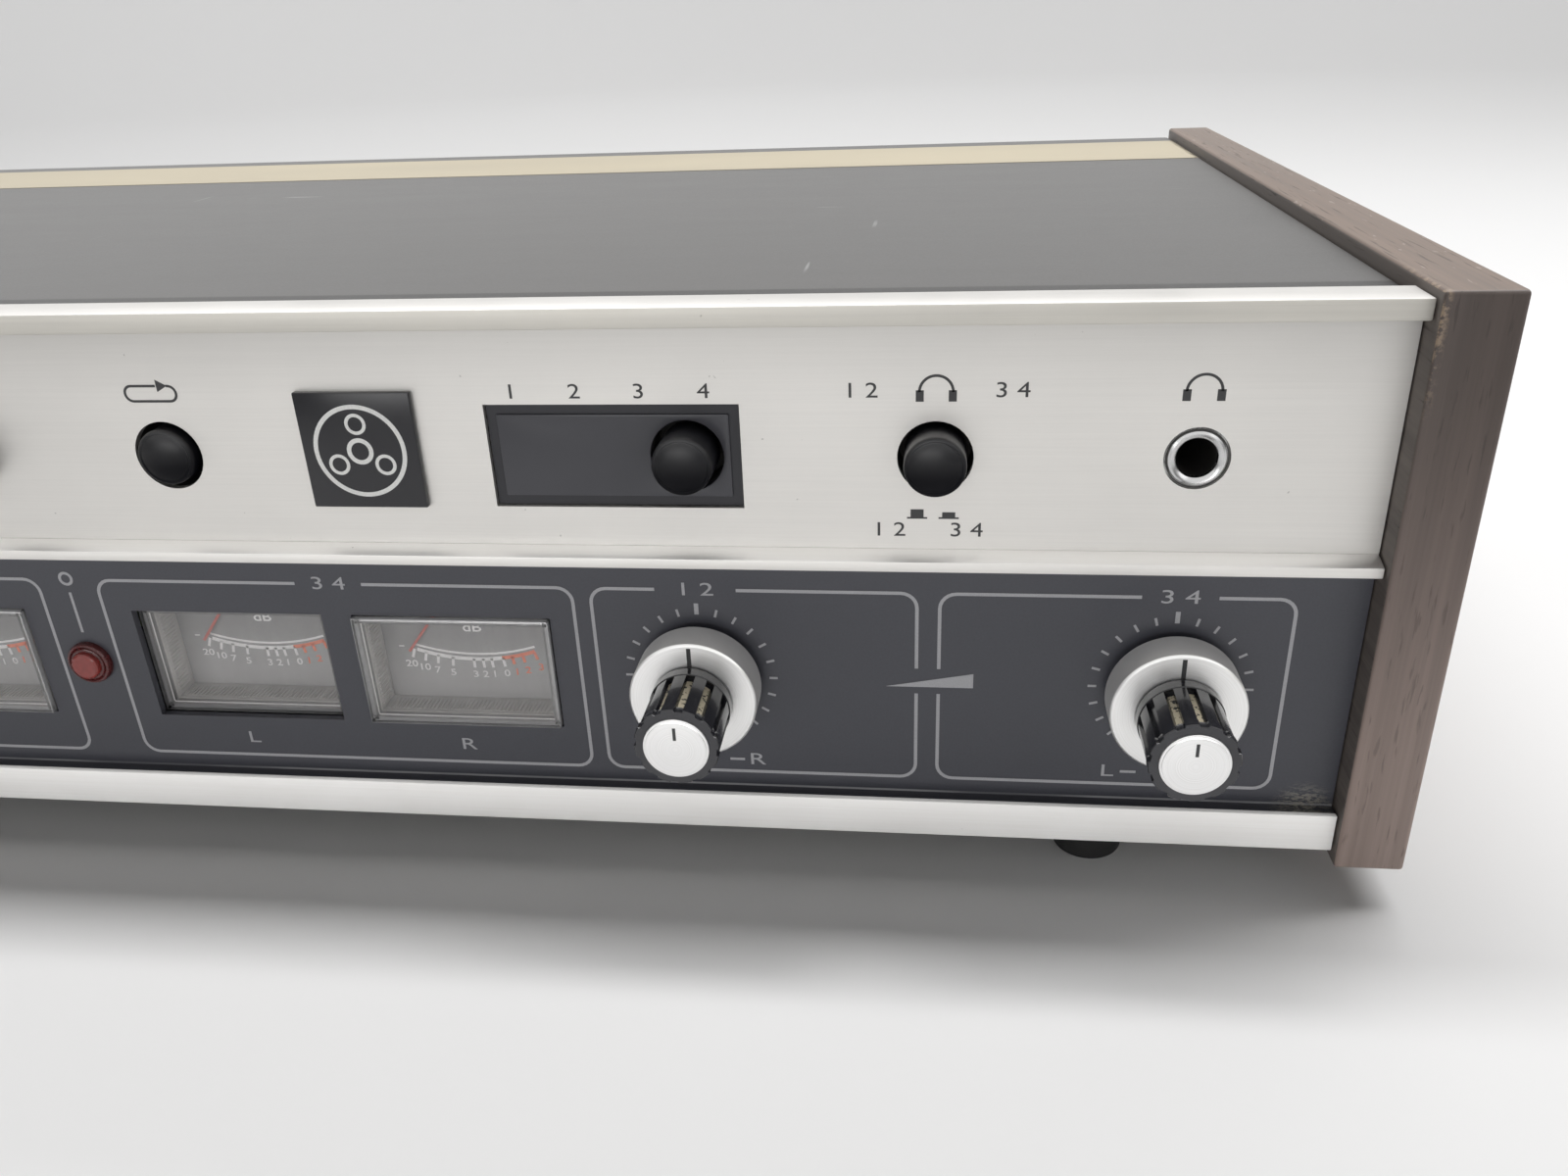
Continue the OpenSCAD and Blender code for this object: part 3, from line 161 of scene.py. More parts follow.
class Graph:
    """The node graph of one material or world, round its shader."""

    def __init__(self, owner: bpy.types.Material | bpy.types.World, shader: str) -> None:
        """Turns nodes on and keeps their tree and shader.

        Args:
            owner: The material or world.
            shader: The name of its shader node.
        """
        owner.use_nodes = True
        self.tree = owner.node_tree
        self.shader = self.tree.nodes[shader]

    @staticmethod
    def pick(sockets: Sequence[bpy.types.NodeSocket], key: int | str) -> bpy.types.NodeSocket:
        """Returns the socket at an index, or the first one in use with that name."""
        named = (s for s in sockets if s.name == key and s.enabled)
        return sockets[key] if isinstance(key, int) else next(named)

    def feed(self, socket: bpy.types.NodeSocket, value: object) -> None:
        """Links a tone to a socket, or sets the socket's own value.

        Args:
            socket: The input.
            value: The tone or the plain value.
        """
        if isinstance(value, Tone):
            self.tree.links.new(value.socket, socket)
        else:
            socket.default_value = value

    def node(
        self, kind: str, sockets: dict | None = None, out: int | str = 0, **settings: object
    ) -> Tone:
        """Adds one node.

        Args:
            kind: The node's type without its ShaderNode prefix.
            sockets: Values or tones of the inputs, by index or name.
            out: The output that is used.
            **settings: Attributes that are set first; stops are a ramp's positions and colours.

        Returns:
            The chosen output.
        """
        made = self.tree.nodes.new("ShaderNode" + kind)
        stops = settings.pop("stops", ())
        if stops:
            while len(made.color_ramp.elements) < len(stops):
                made.color_ramp.elements.new(1.0)
            for element, (position, colour) in zip(made.color_ramp.elements, stops):
                element.position, element.color = position, colour
        for key, value in settings.items():
            setattr(made, key, value)
        for key, value in (sockets or {}).items():
            self.feed(self.pick(made.inputs, key), value)
        return Tone(self, self.pick(made.outputs, out))

    def place(self, scale: Triple = EVEN, centre: Triple = ORIGIN) -> Tone:
        """Maps the Object coordinates.

        Args:
            scale: The scale along each axis.
            centre: The point in metres that becomes the origin.

        Returns:
            The coordinates round the centre times the scale.
        """
        moved = tuple(-c * s for c, s in zip(centre, scale))
        vector = self.node("TexCoord", out="Object")
        return self.node("Mapping", {"Vector": vector, "Location": moved, "Scale": scale})

    def noise(
        self,
        scale: float,
        detail: float = 2.0,
        rough: float = 0.5,
        stretch: Triple = EVEN,
        centre: Triple = ORIGIN,
    ) -> Tone:
        """Adds noise.

        Args:
            scale: Its cells for each metre.
            detail: Its number of finer layers.
            rough: The weight of those layers.
            stretch: The scale along each axis.
            centre: The point in metres that it is laid round.

        Returns:
            The noise's value.
        """
        where = self.place(stretch, centre)
        sockets = {"Vector": where, "Scale": scale, "Detail": detail, "Roughness": rough}
        return self.node("TexNoise", sockets, "Fac")

    def mix(
        self, factor: Tone, first: Tone | tuple, second: Tone | tuple, blend: str = "MIX"
    ) -> Tone:
        """Returns the colour between two others, or another blend of them."""
        sockets = {"Factor": factor, "A": first, "B": second}
        return self.node("Mix", sockets, "Result", data_type="RGBA", blend_type=blend)

    def dim(self, factor: Tone, colour: Tone, gain: float) -> Tone:
        """Returns a colour that is multiplied by a gain where the factor is 1."""
        return self.mix(factor, colour, rgba((gain, gain, gain)), "MULTIPLY")

    def rise(self, axis: str, start: float, end: float) -> Tone:
        """Returns 0 below start and 1 beyond end in millimetres along the axis X, Y or Z."""
        along = self.node("SeparateXYZ", {0: self.place()}, axis)
        return along.above(start * MM, end * MM)

    def away(self, centre: Triple, scale: Triple = EVEN) -> Tone:
        """Returns the distance in metres from a point in millimetres, with a scale along each axis."""
        gap = self.place(scale, tuple(c * MM for c in centre))
        return self.node("VectorMath", {0: gap}, "Value", operation="LENGTH")

    def near(self, centre: Triple, start: float, end: float) -> Tone:
        """Returns 1 within start of a point and 0 beyond end, in millimetres."""
        return 1.0 - self.away(centre).above(start * MM, end * MM)

    def bump(self, height: Tone, depth: float, strength: float = 1.0) -> None:
        """Feeds the shader's normal with a height of that depth in metres."""
        sockets = {"Height": height, "Distance": depth, "Strength": strength}
        self.set({"Normal": self.node("Bump", sockets)})

    def set(self, values: dict[str, object]) -> None:
        """Sets or links inputs of the shader by name."""
        for name, value in values.items():
            self.feed(self.shader.inputs[name], value)


@dataclass(frozen=True)
class Finish:
    """A finish with a name, a linear base colour and a roughness."""

    name: str
    colour: Triple
    rough: float = 0.5

    def material(self) -> bpy.types.Material:
        """Makes the finish's material the first time that it is asked for.

        Returns:
            The material.
        """
        made = bpy.data.materials.get(self.name)
        if made is None:
            made = bpy.data.materials.new(self.name)
            self.dress(Graph(made, "Principled BSDF"))
        return made

    def shades(self, graph: Graph, factor: Tone, low: float, high: float) -> Tone:
        """Returns the base colour times a gain that goes from low to high with the factor."""
        return graph.mix(factor, rgba(self.colour, low), rgba(self.colour, high))

    def dress(self, graph: Graph) -> None:
        """Builds the finish's nodes in a material's graph."""
        raise NotImplementedError


@dataclass(frozen=True)
class BrushedMetal(Finish):
    """Sheet or bar metal brushed in one direction, with dull blotches and specks."""

    grain: Grain = Grain.ACROSS
    lines: float = 2600.0
    dull: float = 0.12
    streak: float = 0.12
    painted_shade_z: Pair | None = None

    def dress(self, graph: Graph) -> None:
        """Builds the brushing, the dull patches, a painted shade that darkens the upper edge and a few
        dark specks.

        Args:
            graph: The material's graph.
        """
        brush = graph.noise(self.lines, 4.0, 0.7, self.grain.value)
        blotch = graph.noise(45.0, 3.0)
        speck = graph.noise(640.0, 1.0).above(0.81, 0.84)
        sheet = self.shades(graph, brush * 0.6 + blotch * 0.4, 1.0 - self.streak, 1.0 + self.streak)
        # Painted shade: darkens the sheet towards its upper edge in Z.
        if self.painted_shade_z:
            sheet = graph.dim(graph.rise("Z", *self.painted_shade_z), sheet, 0.86)
        colour = graph.mix(speck * 0.5, sheet, rgba(self.colour, 0.35))
        rough = brush * 0.16 + blotch * self.dull + (self.rough - 0.12)
        graph.set({"Base Color": colour, "Roughness": rough, "Metallic": 1.0})
        graph.bump(brush, 0.00003, 0.35)


@dataclass(frozen=True)
class SpunMetal(Finish):
    """Turned metal with fine rings about an axis that runs along Y."""

    centre: Pair = (0.0, 0.0)

    def dress(self, graph: Graph) -> None:
        """Builds the rings and a faint streak of wear.

        Args:
            graph: The material's graph.
        """
        x, z = self.centre
        radius = graph.away((x, 0.0, z), (1.0, 0.0, 1.0))
        sockets = {"W": radius, "Scale": 5200.0, "Detail": 3.0}
        rings = graph.node("TexNoise", sockets, "Fac", noise_dimensions="1D")
        wear = graph.noise(160.0, 3.0)
        rough = rings * 0.18 + wear * 0.1 + (self.rough - 0.14)
        colour = self.shades(graph, rings, 0.84, 1.08)
        graph.set({"Base Color": colour, "Roughness": rough, "Metallic": 1.0})
        graph.bump(rings, 0.00003, 0.4)


@dataclass(frozen=True)
class SatinPaint(Finish):
    """Painted or printed sheet with a fine grain, cloudy wear and short pale scratches."""

    cloud: float = 0.3
    scratch: float = 0.0
    grit: float = 0.25
    soot: float = 0.0
    seam_shade_y: float | None = None
    crease_highlight_z: float | None = None
    dirt: Triple | None = None

    def dress(self, graph: Graph) -> None:
        """Builds the grain, clouds and scratches, soot, a painted shade along a seam, a crease line that
        is a painted highlight broken by rubbed wear, and dirt in a corner.

        Args:
            graph: The material's graph.
        """
        grain = graph.noise(2600.0)
        cloud = graph.noise(26.0, 4.0, 0.6, (0.35, 1.0, 1.0))
        coat = self.shades(graph, cloud * self.cloud + grain * (1.0 - self.cloud), 0.8, 1.22)
        if self.scratch:
            first = graph.noise(330.0, 1.0, 0.5, (1.0, 0.05, 1.0)).above(0.755, 0.78)
            second = graph.noise(260.0, 1.0, 0.5, (0.08, 1.0, 1.0), (0.3, 0.2, 0.0)).above(0.76, 0.78)
            fade = graph.noise(30.0, 1.0).above(0.52, 0.62)
            coat = graph.mix((first + second) * fade * self.scratch, coat, rgba((0.5, 0.5, 0.5)))
        if self.soot:
            speck = graph.noise(1500.0).above(self.soot - 0.06, self.soot)
            coat = graph.mix(speck, coat, rgba((0.02, 0.02, 0.02)))
        # Painted shade: darkens the colour towards the front, ahead of a line in Y, along the seam with
        # the part in front.
        if self.seam_shade_y is not None:
            coat = graph.dim(1.0 - graph.rise("Y", self.seam_shade_y - 1.2, self.seam_shade_y), coat, 0.22)
        # A pale line along the crease in Z: a painted highlight of the fold, broken by rubbed wear.
        if self.crease_highlight_z is not None:
            z = self.crease_highlight_z
            line = graph.rise("Z", z, z + 0.1) - graph.rise("Z", z + 0.4, z + 0.55)
            rub = graph.noise(240.0, 3.0, 0.5, (0.12, 1.0, 1.0)).above(0.36, 0.62)
            coat = graph.mix(line * (rub * 0.55 + 0.25), coat, rgba((0.4, 0.4, 0.41)))
        if self.dirt:
            crumbs = graph.noise(1900.0, 4.0, 0.75, (0.4, 1.0, 1.0)).above(0.46, 0.55)
            near = graph.near(self.dirt, 1.5, 7.2)
            coat = graph.mix(crumbs * near * 0.85, coat, rgba((0.36, 0.34, 0.29)))
        graph.set({"Base Color": coat, "Roughness": grain * 0.08 + cloud * 0.14 + (self.rough - 0.11)})
        graph.bump(grain, 0.00004, self.grit)


@dataclass(frozen=True)
class DialCard(Finish):
    """A printed dial card that pales towards its lower edge, where light falls on it."""

    painted_light_z: Pair = (0.0, 1.0)

    def dress(self, graph: Graph) -> None:
        """Builds the card's painted light, paler from top to bottom, and its paper grain.

        Args:
            graph: The material's graph.
        """
        grain = graph.noise(1600.0, 3.0)
        shade = graph.rise("Z", *self.painted_light_z) * 0.85 + grain * 0.15
        colour = self.shades(graph, shade, 2.05, 0.8)
        graph.set({"Base Color": colour, "Roughness": grain * 0.1 + (self.rough - 0.05)})
        graph.bump(grain, 0.00002, 0.2)


@dataclass(frozen=True)
class MouldedPlastic(Finish):
    """Moulded plastic, rubber or nylon with a fine texture and rubbed patches."""

    texture: float = 1800.0
    depth: float = 0.3
    coat: float = 0.0
    shine: float = 0.5
    wear: float = 0.28
    highlight_coat_z: Pair | None = None
    coat_rough: float = 0.03

    def dress(self, graph: Graph) -> None:
        """Builds the moulded texture and the rubbed patches, and a coat that may grow with height as a
        painted highlight on the upper part.

        Args:
            graph: The material's graph.
        """
        grain = graph.noise(self.texture, 3.0)
        rubbed = graph.noise(120.0, 3.0, 0.6)
        least = self.rough - 0.05 - self.wear * 0.25
        # Painted highlight: the coat's weight grows with height in Z.
        rise = graph.rise("Z", *self.highlight_coat_z) if self.highlight_coat_z else 1.0
        graph.set(
            {
                "Base Color": self.shades(graph, rubbed, 1.0 - self.wear, 1.0 + self.wear),
                "Roughness": grain * 0.1 + rubbed * (self.wear * 0.5) + least,
                "Coat Weight": rise * self.coat,
                "Coat Roughness": self.coat_rough,
                "Specular IOR Level": self.shine,
            }
        )
        graph.bump(grain, 0.00004, self.depth)


@dataclass(frozen=True)
class WoodVinyl(Finish):
    """Wood-grain vinyl with long streaks, dark pores and a satin face."""

    grain: Grain = Grain.DEEP
    corner: Triple = (228.4, -110.4, 111.0)
    worn: Pair = (4.0, 24.0)
    fleck: float = 0.3
    painted_shade_z: Pair | None = None
    figure: Pair = (0.5, 1.45)
    pore: Pair = (4.0, 0.72)

    def dress(self, graph: Graph) -> None:
        """Builds streaks, pores, a painted shade over the upper part, flecks and the pale wear round one
        corner.

        Args:
            graph: The material's graph.
        """
        pore_run, pore_dark = self.pore
        wander = graph.noise(60.0, 2.0, 0.5, self.grain.shorter(12.0))
        streak = graph.noise(420.0, 5.0, 0.65, self.grain.value)
        band = graph.noise(110.0, 2.0, 0.5, self.grain.value)
        pores = graph.noise(1600.0, 2.0, 0.5, self.grain.shorter(pore_run)).above(0.6, 0.72)
        figure = streak * 0.55 + band * 0.3 + wander * 0.15
        dark, light = (rgba(self.colour, gain) for gain in self.figure)
        stops = [(0.3, dark), (0.5, rgba(self.colour)), (0.68, light)]
        face = graph.node("ValToRGB", {"Fac": figure}, stops=stops)
        face = graph.mix(pores * pore_dark, face, rgba(self.colour, 0.32))
        # Painted shade: darkens the colour towards the top in Z.
        if self.painted_shade_z:
            face = graph.dim(graph.rise("Z", *self.painted_shade_z), face, 0.31)
        rub = graph.noise(640.0, 4.0, 0.7).above(0.44, 0.6)
        inner = 1.0 - graph.rise("X", self.corner[0], self.corner[0] + 1.2)
        worn = rub * graph.near(self.corner, *self.worn) * inner
        face = graph.mix(worn, face, rgba((0.3, 0.225, 0.16)))
        if self.fleck:
            dust = graph.noise(900.0, 1.0, 0.5, self.grain.shorter(25.0)).above(0.7, 0.76)
            face = graph.mix(dust * self.fleck, face, rgba((0.5, 0.44, 0.39)))
        graph.set({"Base Color": face, "Roughness": streak * 0.16 + pores * 0.1 + (self.rough - 0.1)})
        graph.bump(figure - pores * 0.5, 0.00008, 0.35)


@dataclass(frozen=True)
class ClearPlastic(Finish):
    """Thin clear plastic: it lets light straight through and mirrors a little of it."""

    haze: float = 0.06
    base: float = 0.03

    def dress(self, graph: Graph) -> None:
        """Mixes a clear and a glossy shader by the angle of view, with hairline wear.

        Args:
            graph: The material's graph.
        """
        wear = graph.noise(900.0, 3.0, 0.5, (1.0, 1.0, 0.06))
        facing = graph.node("LayerWeight", {"Blend": 0.5}, "Facing")
        factor = facing**5.0 * 0.8 + wear * self.haze + self.base
        clear = graph.node("BsdfTransparent", {"Color": rgba(self.colour)})
        gloss = graph.node("BsdfGlossy", {"Color": rgba(self.colour), "Roughness": self.rough})
        mixed = graph.node("MixShader", {0: factor, 1: clear, 2: gloss})
        graph.feed(graph.tree.nodes["Material Output"].inputs["Surface"], mixed)


@dataclass(frozen=True)
class ColouredLens(Finish):
    """A translucent coloured lens with a polished, slightly scuffed face."""

    def dress(self, graph: Graph) -> None:
        """Builds the lens with a deep body colour and a polished coat.

        Args:
            graph: The material's graph.
        """
        scuff = graph.noise(900.0, 3.0)
        colour = self.shades(graph, scuff, 0.6, 1.3)
        graph.set({"Base Color": colour, "Roughness": scuff * 0.16 + (self.rough - 0.08)})
        graph.set({"Transmission Weight": 0.35, "IOR": 1.49, "Coat Weight": 0.4})
        graph.bump(scuff, 0.00003, 0.2)


@dataclass(frozen=True)
class StageCard(Finish):
    """Plain matt card for the floor and the backdrop."""

    def dress(self, graph: Graph) -> None:
        """Sets the card's plain colour."""
        sheen = {"Roughness": self.rough, "Specular IOR Level": 0.1}
        graph.set({"Base Color": rgba(self.colour), **sheen})


@dataclass(frozen=True)
class PrintInk(Finish):
    """Screen-printed ink with a slightly broken surface; on the meter covers it is painted reflection
    and painted highlight.
    """

    def dress(self, graph: Graph) -> None:
        """Builds the ink's uneven cover.

        Args:
            graph: The material's graph.
        """
        grain = graph.noise(3800.0, 3.0)
        colour = self.shades(graph, grain, 0.8, 1.15)
        graph.set({"Base Color": colour, "Roughness": grain * 0.15 + (self.rough - 0.07)})
        graph.bump(grain, 0.00002, 0.2)


WOOD_LONG = WoodVinyl("walnut_vinyl_lengthwise", (0.146, 0.103, 0.079), 0.46)
# Copy of the vinyl for front and back faces: paler than the top's as painted light from below, darkened
# upwards by painted shade.
WOOD_UPRIGHT_PAINTED_LIGHT = WoodVinyl(
    "walnut_vinyl_upright_painted_light",
    (0.295, 0.226, 0.198),
    grain=Grain.UPRIGHT,
    fleck=0.0,
    painted_shade_z=(15.0, 108.0),
    figure=(0.66, 1.28),
    pore=(10.0, 0.42),
)
# Copy of the vinyl for inner faces, darker as painted shade.
WOOD_INNER_SHADED = WoodVinyl("walnut_vinyl_inner_shaded", (0.11, 0.094, 0.084), 0.6, worn=(0.0, 0.1), fleck=0.0)
# The cover's front margin is darkened by painted shade along its seam with the top bar.
COVER_PAINT = SatinPaint("cover_dark_satin", (0.078, 0.0755, 0.074), 0.4, 0.7, 0.4, seam_shade_y=-91.5)
LOWER_PAINT = SatinPaint(
    "lower_fascia_dark_satin",
    (0.061, 0.0625, 0.076),
    0.42,
    0.4,
    # The crease's pale line is a painted highlight, partly rubbed wear.
    crease_highlight_z=17.15,
    dirt=(222.6, -108.0, 16.4),
)
REAR_PAINT = SatinPaint("rear_panel_paint", (0.05, 0.051, 0.054), 0.5, 0.5, 0.5)
STEEL_SHEET = BrushedMetal("zinc_plated_sheet", (0.52, 0.52, 0.5), 0.42, lines=900.0, dull=0.25)
TAPE_CREAM = SatinPaint("cream_paper_tape", (0.46, 0.405, 0.295), 0.5, 0.75, 0.0, 0.5)
# The fascia is darkened under the top bar by painted shade.
FASCIA_METAL = BrushedMetal("upper_fascia_brushed", (0.72, 0.705, 0.68), painted_shade_z=(92.0, 107.0))
TRIM_UPPER = BrushedMetal("top_trim_brushed", (0.62, 0.602, 0.56), lines=1900.0, dull=0.2, streak=0.2)
# Copy of the top trim for its top face, darker as painted shade.
TRIM_CREST_SHADED = BrushedMetal("top_trim_crest_shaded", (0.52, 0.51, 0.495), 0.46, dull=0.15)
# Copy of the middle trim for its ledge, paler as painted highlight.
TRIM_LEDGE_LIT = BrushedMetal("middle_trim_ledge_lit", (0.98, 0.97, 0.95), 0.4, Grain.ACROSS, 3000.0, 0.1, 0.06)
TRIM_MIDDLE = BrushedMetal("middle_trim_brushed", (0.84, 0.825, 0.8), 0.55, lines=2200.0, dull=0.2)
TRIM_LOWER = BrushedMetal("bottom_trim_brushed", (1.0, 0.985, 0.96), 0.76, lines=2200.0, dull=0.2)
INK_DARK = PrintInk("dark_print", (0.045, 0.045, 0.047))
INK_PALE = PrintInk("pale_print", (0.42, 0.42, 0.44))
INK_WHITE = PrintInk("white_print", (0.86, 0.86, 0.84))
INK_DIAL = PrintInk("dial_white_print", (0.96, 0.96, 0.95))
INK_RED = PrintInk("orange_red_print", (0.93, 0.19, 0.07))
KNOB_BLACK = MouldedPlastic("knob_gloss_black", (0.008, 0.008, 0.011), 0.22, 1400.0, 0.1, 0.3)
KNOB_FACE = MouldedPlastic("knob_satin_face", (0.05, 0.05, 0.056), 0.46, 1400.0, 0.1)
FLUTE_DIRT = SatinPaint("flute_old_dirt", (0.46, 0.41, 0.3), 0.8, 0.2, 0.0, 0.9, 0.62)
WINDOW_FIELD = MouldedPlastic(
    "selector_window_smoked", (0.056, 0.056, 0.066), 0.34, 1200.0, 0.06, wear=0.07
)
WINDOW_RIM = MouldedPlastic("selector_window_rim", (0.022, 0.022, 0.028), 0.4, 1200.0, 0.06, wear=0.07)
BADGE_BLACK = MouldedPlastic("badge_black", (0.004, 0.004, 0.0055), 0.42, 1500.0, 0.1, shine=0.08)
RUBBER = MouldedPlastic("foot_rubber_black", (0.014, 0.014, 0.014), 0.75, 1200.0, 0.8)
CASE_BLACK = MouldedPlastic("case_moulded_black", (0.014, 0.014, 0.015))
LINER_GREY = MouldedPlastic("meter_frosted_wall", (0.58, 0.57, 0.55), 0.35, 900.0, 0.2)
DIAL_GREY = DialCard("meter_dial_grey", (0.245, 0.245, 0.245), 0.55, (29.0, 47.0))
DOOR_PLASTIC = MouldedPlastic("door_moulded", (0.022, 0.022, 0.024), 0.4)
IVORY_PLASTIC = MouldedPlastic("cam_ivory_nylon", (0.62, 0.58, 0.47))
HOUSING_DARK = MouldedPlastic("switch_housing_dark", (0.016, 0.014, 0.012), 0.6)
BOARD_GREEN = SatinPaint("board_laminate", (0.13, 0.16, 0.035), 0.5, 0.6)
CORE_VARNISH = BrushedMetal("varnished_laminations", (0.1, 0.085, 0.075), lines=1500.0, dull=0.3)
MOTOR_PAINT = SatinPaint("motor_grey_paint", (0.16, 0.165, 0.175), 0.45, 0.5)
CHROME = BrushedMetal("chrome_plate", (0.6, 0.6, 0.6), 0.24, Grain.UPRIGHT, 500.0, 0.1)
PLATED = BrushedMetal("plated_steel", (0.56, 0.56, 0.55), 0.36, lines=1800.0, dull=0.2)
BRASS = BrushedMetal("brass_turned", (0.66, 0.48, 0.2), 0.34, lines=1800.0, dull=0.2)
# Dark bore of the jacks, also used for the painted shade round their collars.
BORE_AND_GAP_SHADE = MouldedPlastic("jack_bore_and_gap_shade", (0.03, 0.028, 0.026), 0.45)
CLEAR_COVER = ClearPlastic("meter_cover_clear", (0.995, 0.99, 0.99), 0.05, base=0.04)
CLEAR_EDGE = ClearPlastic("meter_cover_cut_edge", (0.8, 0.8, 0.8), 0.34, 0.1, 0.34)
# Painted reflection: a grey band where the cover's thick walls show through its front.
WALL_REFLECTION_BAND = PrintInk("meter_cover_wall_reflection_band", (0.34, 0.34, 0.345), 0.3)
# Painted highlight along the cover's inner front edge.
EDGE_GLINT = PrintInk("meter_cover_inner_edge_highlight", (0.95, 0.95, 0.94), 0.3)
RED_LENS = ColouredLens("lamp_lens_red", (0.42, 0.05, 0.04), 0.2)
RED_FLANGE = ColouredLens("lamp_flange_red", (0.14, 0.012, 0.012), 0.26)
RED_NEEDLE = PrintInk("needle_red_paint", (0.5, 0.055, 0.025), 0.45)
SOCKET_RED = MouldedPlastic("socket_insulator_red", (0.4, 0.02, 0.02), 0.4)
SOCKET_WHITE = MouldedPlastic("socket_insulator_white", (0.7, 0.69, 0.66), 0.4)

FINISH_NODES: dict[Finish, tuple[str, ...]] = {
    STEEL_SHEET: ("base_plate", "head_carriage"),
    REAR_PAINT: ("rear_panel",),
    FASCIA_METAL: ("upper_fascia",),
    LOWER_PAINT: ("lower_fascia",),
    CASE_BLACK: ("meter_cases", "power_inlet"),
    DIAL_GREY: ("meter_dials",),
    RED_NEEDLE: tuple(f"needle_{a}_{b}" for a in ("front", "rear") for b in ("left", "right")),
    PLATED: (
        *(f"{kind}_shaft_{place}" for kind in ("sleeve", "inner") for place in ("front", "rear")),
        *("screws", "potentiometers", "door_pin", "cartridge_tray", "deck_plate", "flywheel", "plunger"),
    ),
    HOUSING_DARK: ("switch_housings",),
    DOOR_PLASTIC: ("cartridge_door",),
    CHROME: ("capstan", "tape_head", "line_sockets"),
    BRASS: ("capstan_bearings", "motor_pulley"),
    MOTOR_PAINT: ("motor", "solenoid"),
    RUBBER: ("drive_belt",),
    IVORY_PLASTIC: ("program_cam",),
    CORE_VARNISH: ("transformer",),
    BOARD_GREEN: ("amplifier_board",),
}


def crate(low: Sequence[float], high: Sequence[float]) -> Shape:
    """Makes a box.

    Args:
        low: Its lowest corner.
        high: Its highest corner.

    Returns:
        The box.
    """
    part = bmesh.new()
    size = Vector(high) - Vector(low)
    lay = Matrix.Translation((Vector(low) + Vector(high)) / 2) @ Matrix.Diagonal((*size, 1.0))
    bmesh.ops.create_cube(part, size=1.0, matrix=lay)
    return part


def card(lay: Matrix, half: Sequence[float], rows: int = 1) -> Shape:
    """Makes a flat rectangle.

    Args:
        lay: The place of its middle.
        half: Half its width and half its height.
        rows: The number of rows that it is cut into.

    Returns:
        The rectangle.
    """
    part = bmesh.new()
    sized = lay @ Matrix.Diagonal((*half, 1.0, 1.0))
    bmesh.ops.create_grid(part, x_segments=1, y_segments=rows, size=1.0, matrix=sized)
    return part


def spun(
    line: Sequence[Triple], centre: Triple, axis: Triple, steps: int, angle: float = 360.0
) -> Shape:
    """Sweeps a line about an axis.

    Args:
        line: The line's points.
        centre: A point on the axis.
        axis: The axis's direction.
        steps: The number of steps.
        angle: The sweep in degrees.

    Returns:
        The swept surface.
    """
    part = bmesh.new()
    verts = [part.verts.new(point) for point in line]
    geom = verts + [part.edges.new(pair) for pair in zip(verts, verts[1:])]
    sweep = {"angle": math.radians(angle), "steps": steps, "use_merge": angle >= 360.0}
    bmesh.ops.spin(part, geom=geom, cent=centre, axis=axis, **sweep)
    return part


def soften(part: Shape, geom: list, offset: float, segments: int, clamp: bool = False) -> None:
    """Rounds edges or corners.

    Args:
        part: The shape.
        geom: Its edges or corners.
        offset: The radius.
        segments: The steps of the rounding.
        clamp: True if a rounding stops where it meets another.
    """
    edges = all(isinstance(item, bmesh.types.BMEdge) for item in geom)
    look = {"affect": "EDGES" if edges else "VERTICES", "profile": 0.5, "material": -1}
    bmesh.ops.bevel(part, geom=geom, offset=offset, segments=segments, clamp_overlap=clamp, **look)


def thicken(part: Shape, way: Triple) -> None:
    """Grows a flat shape into a plate.

    Args:
        part: The flat shape.
        way: The way that it grows, as long as the plate is thick.
    """
    grown = bmesh.ops.extrude_face_region(part, geom=part.faces[:])["geom"]
    moved = [v for v in grown if isinstance(v, bmesh.types.BMVert)]
    bmesh.ops.translate(part, verts=moved, vec=way)


def shell(
    part: Shape, is_open: Callable[[Vector], bool], fold: float, segments: int, wall: float
) -> Shape:
    """Turns a box into thin sheet that is open on some sides.

    Args:
        part: The box.
        is_open: Tells by a side's normal whether that side is open.
        fold: The radius of its folds.
        segments: The steps of each fold.
        wall: The sheet's thickness.

    Returns:
        The sheet.
    """
    middle = sum((v.co for v in part.verts), Vector()) / len(part.verts)
    bmesh.ops.delete(part, geom=[f for f in part.faces if is_open(f.normal)], context="FACES")
    soften(part, [e for e in part.edges if e.is_manifold], fold, segments)
    bmesh.ops.recalc_face_normals(part, faces=part.faces[:])
    if any(f.normal.dot(f.calc_center_median() - middle) < 0 for f in part.faces):
        bmesh.ops.reverse_faces(part, faces=part.faces[:])
    bmesh.ops.solidify(part, geom=part.faces[:], thickness=wall)
    return part


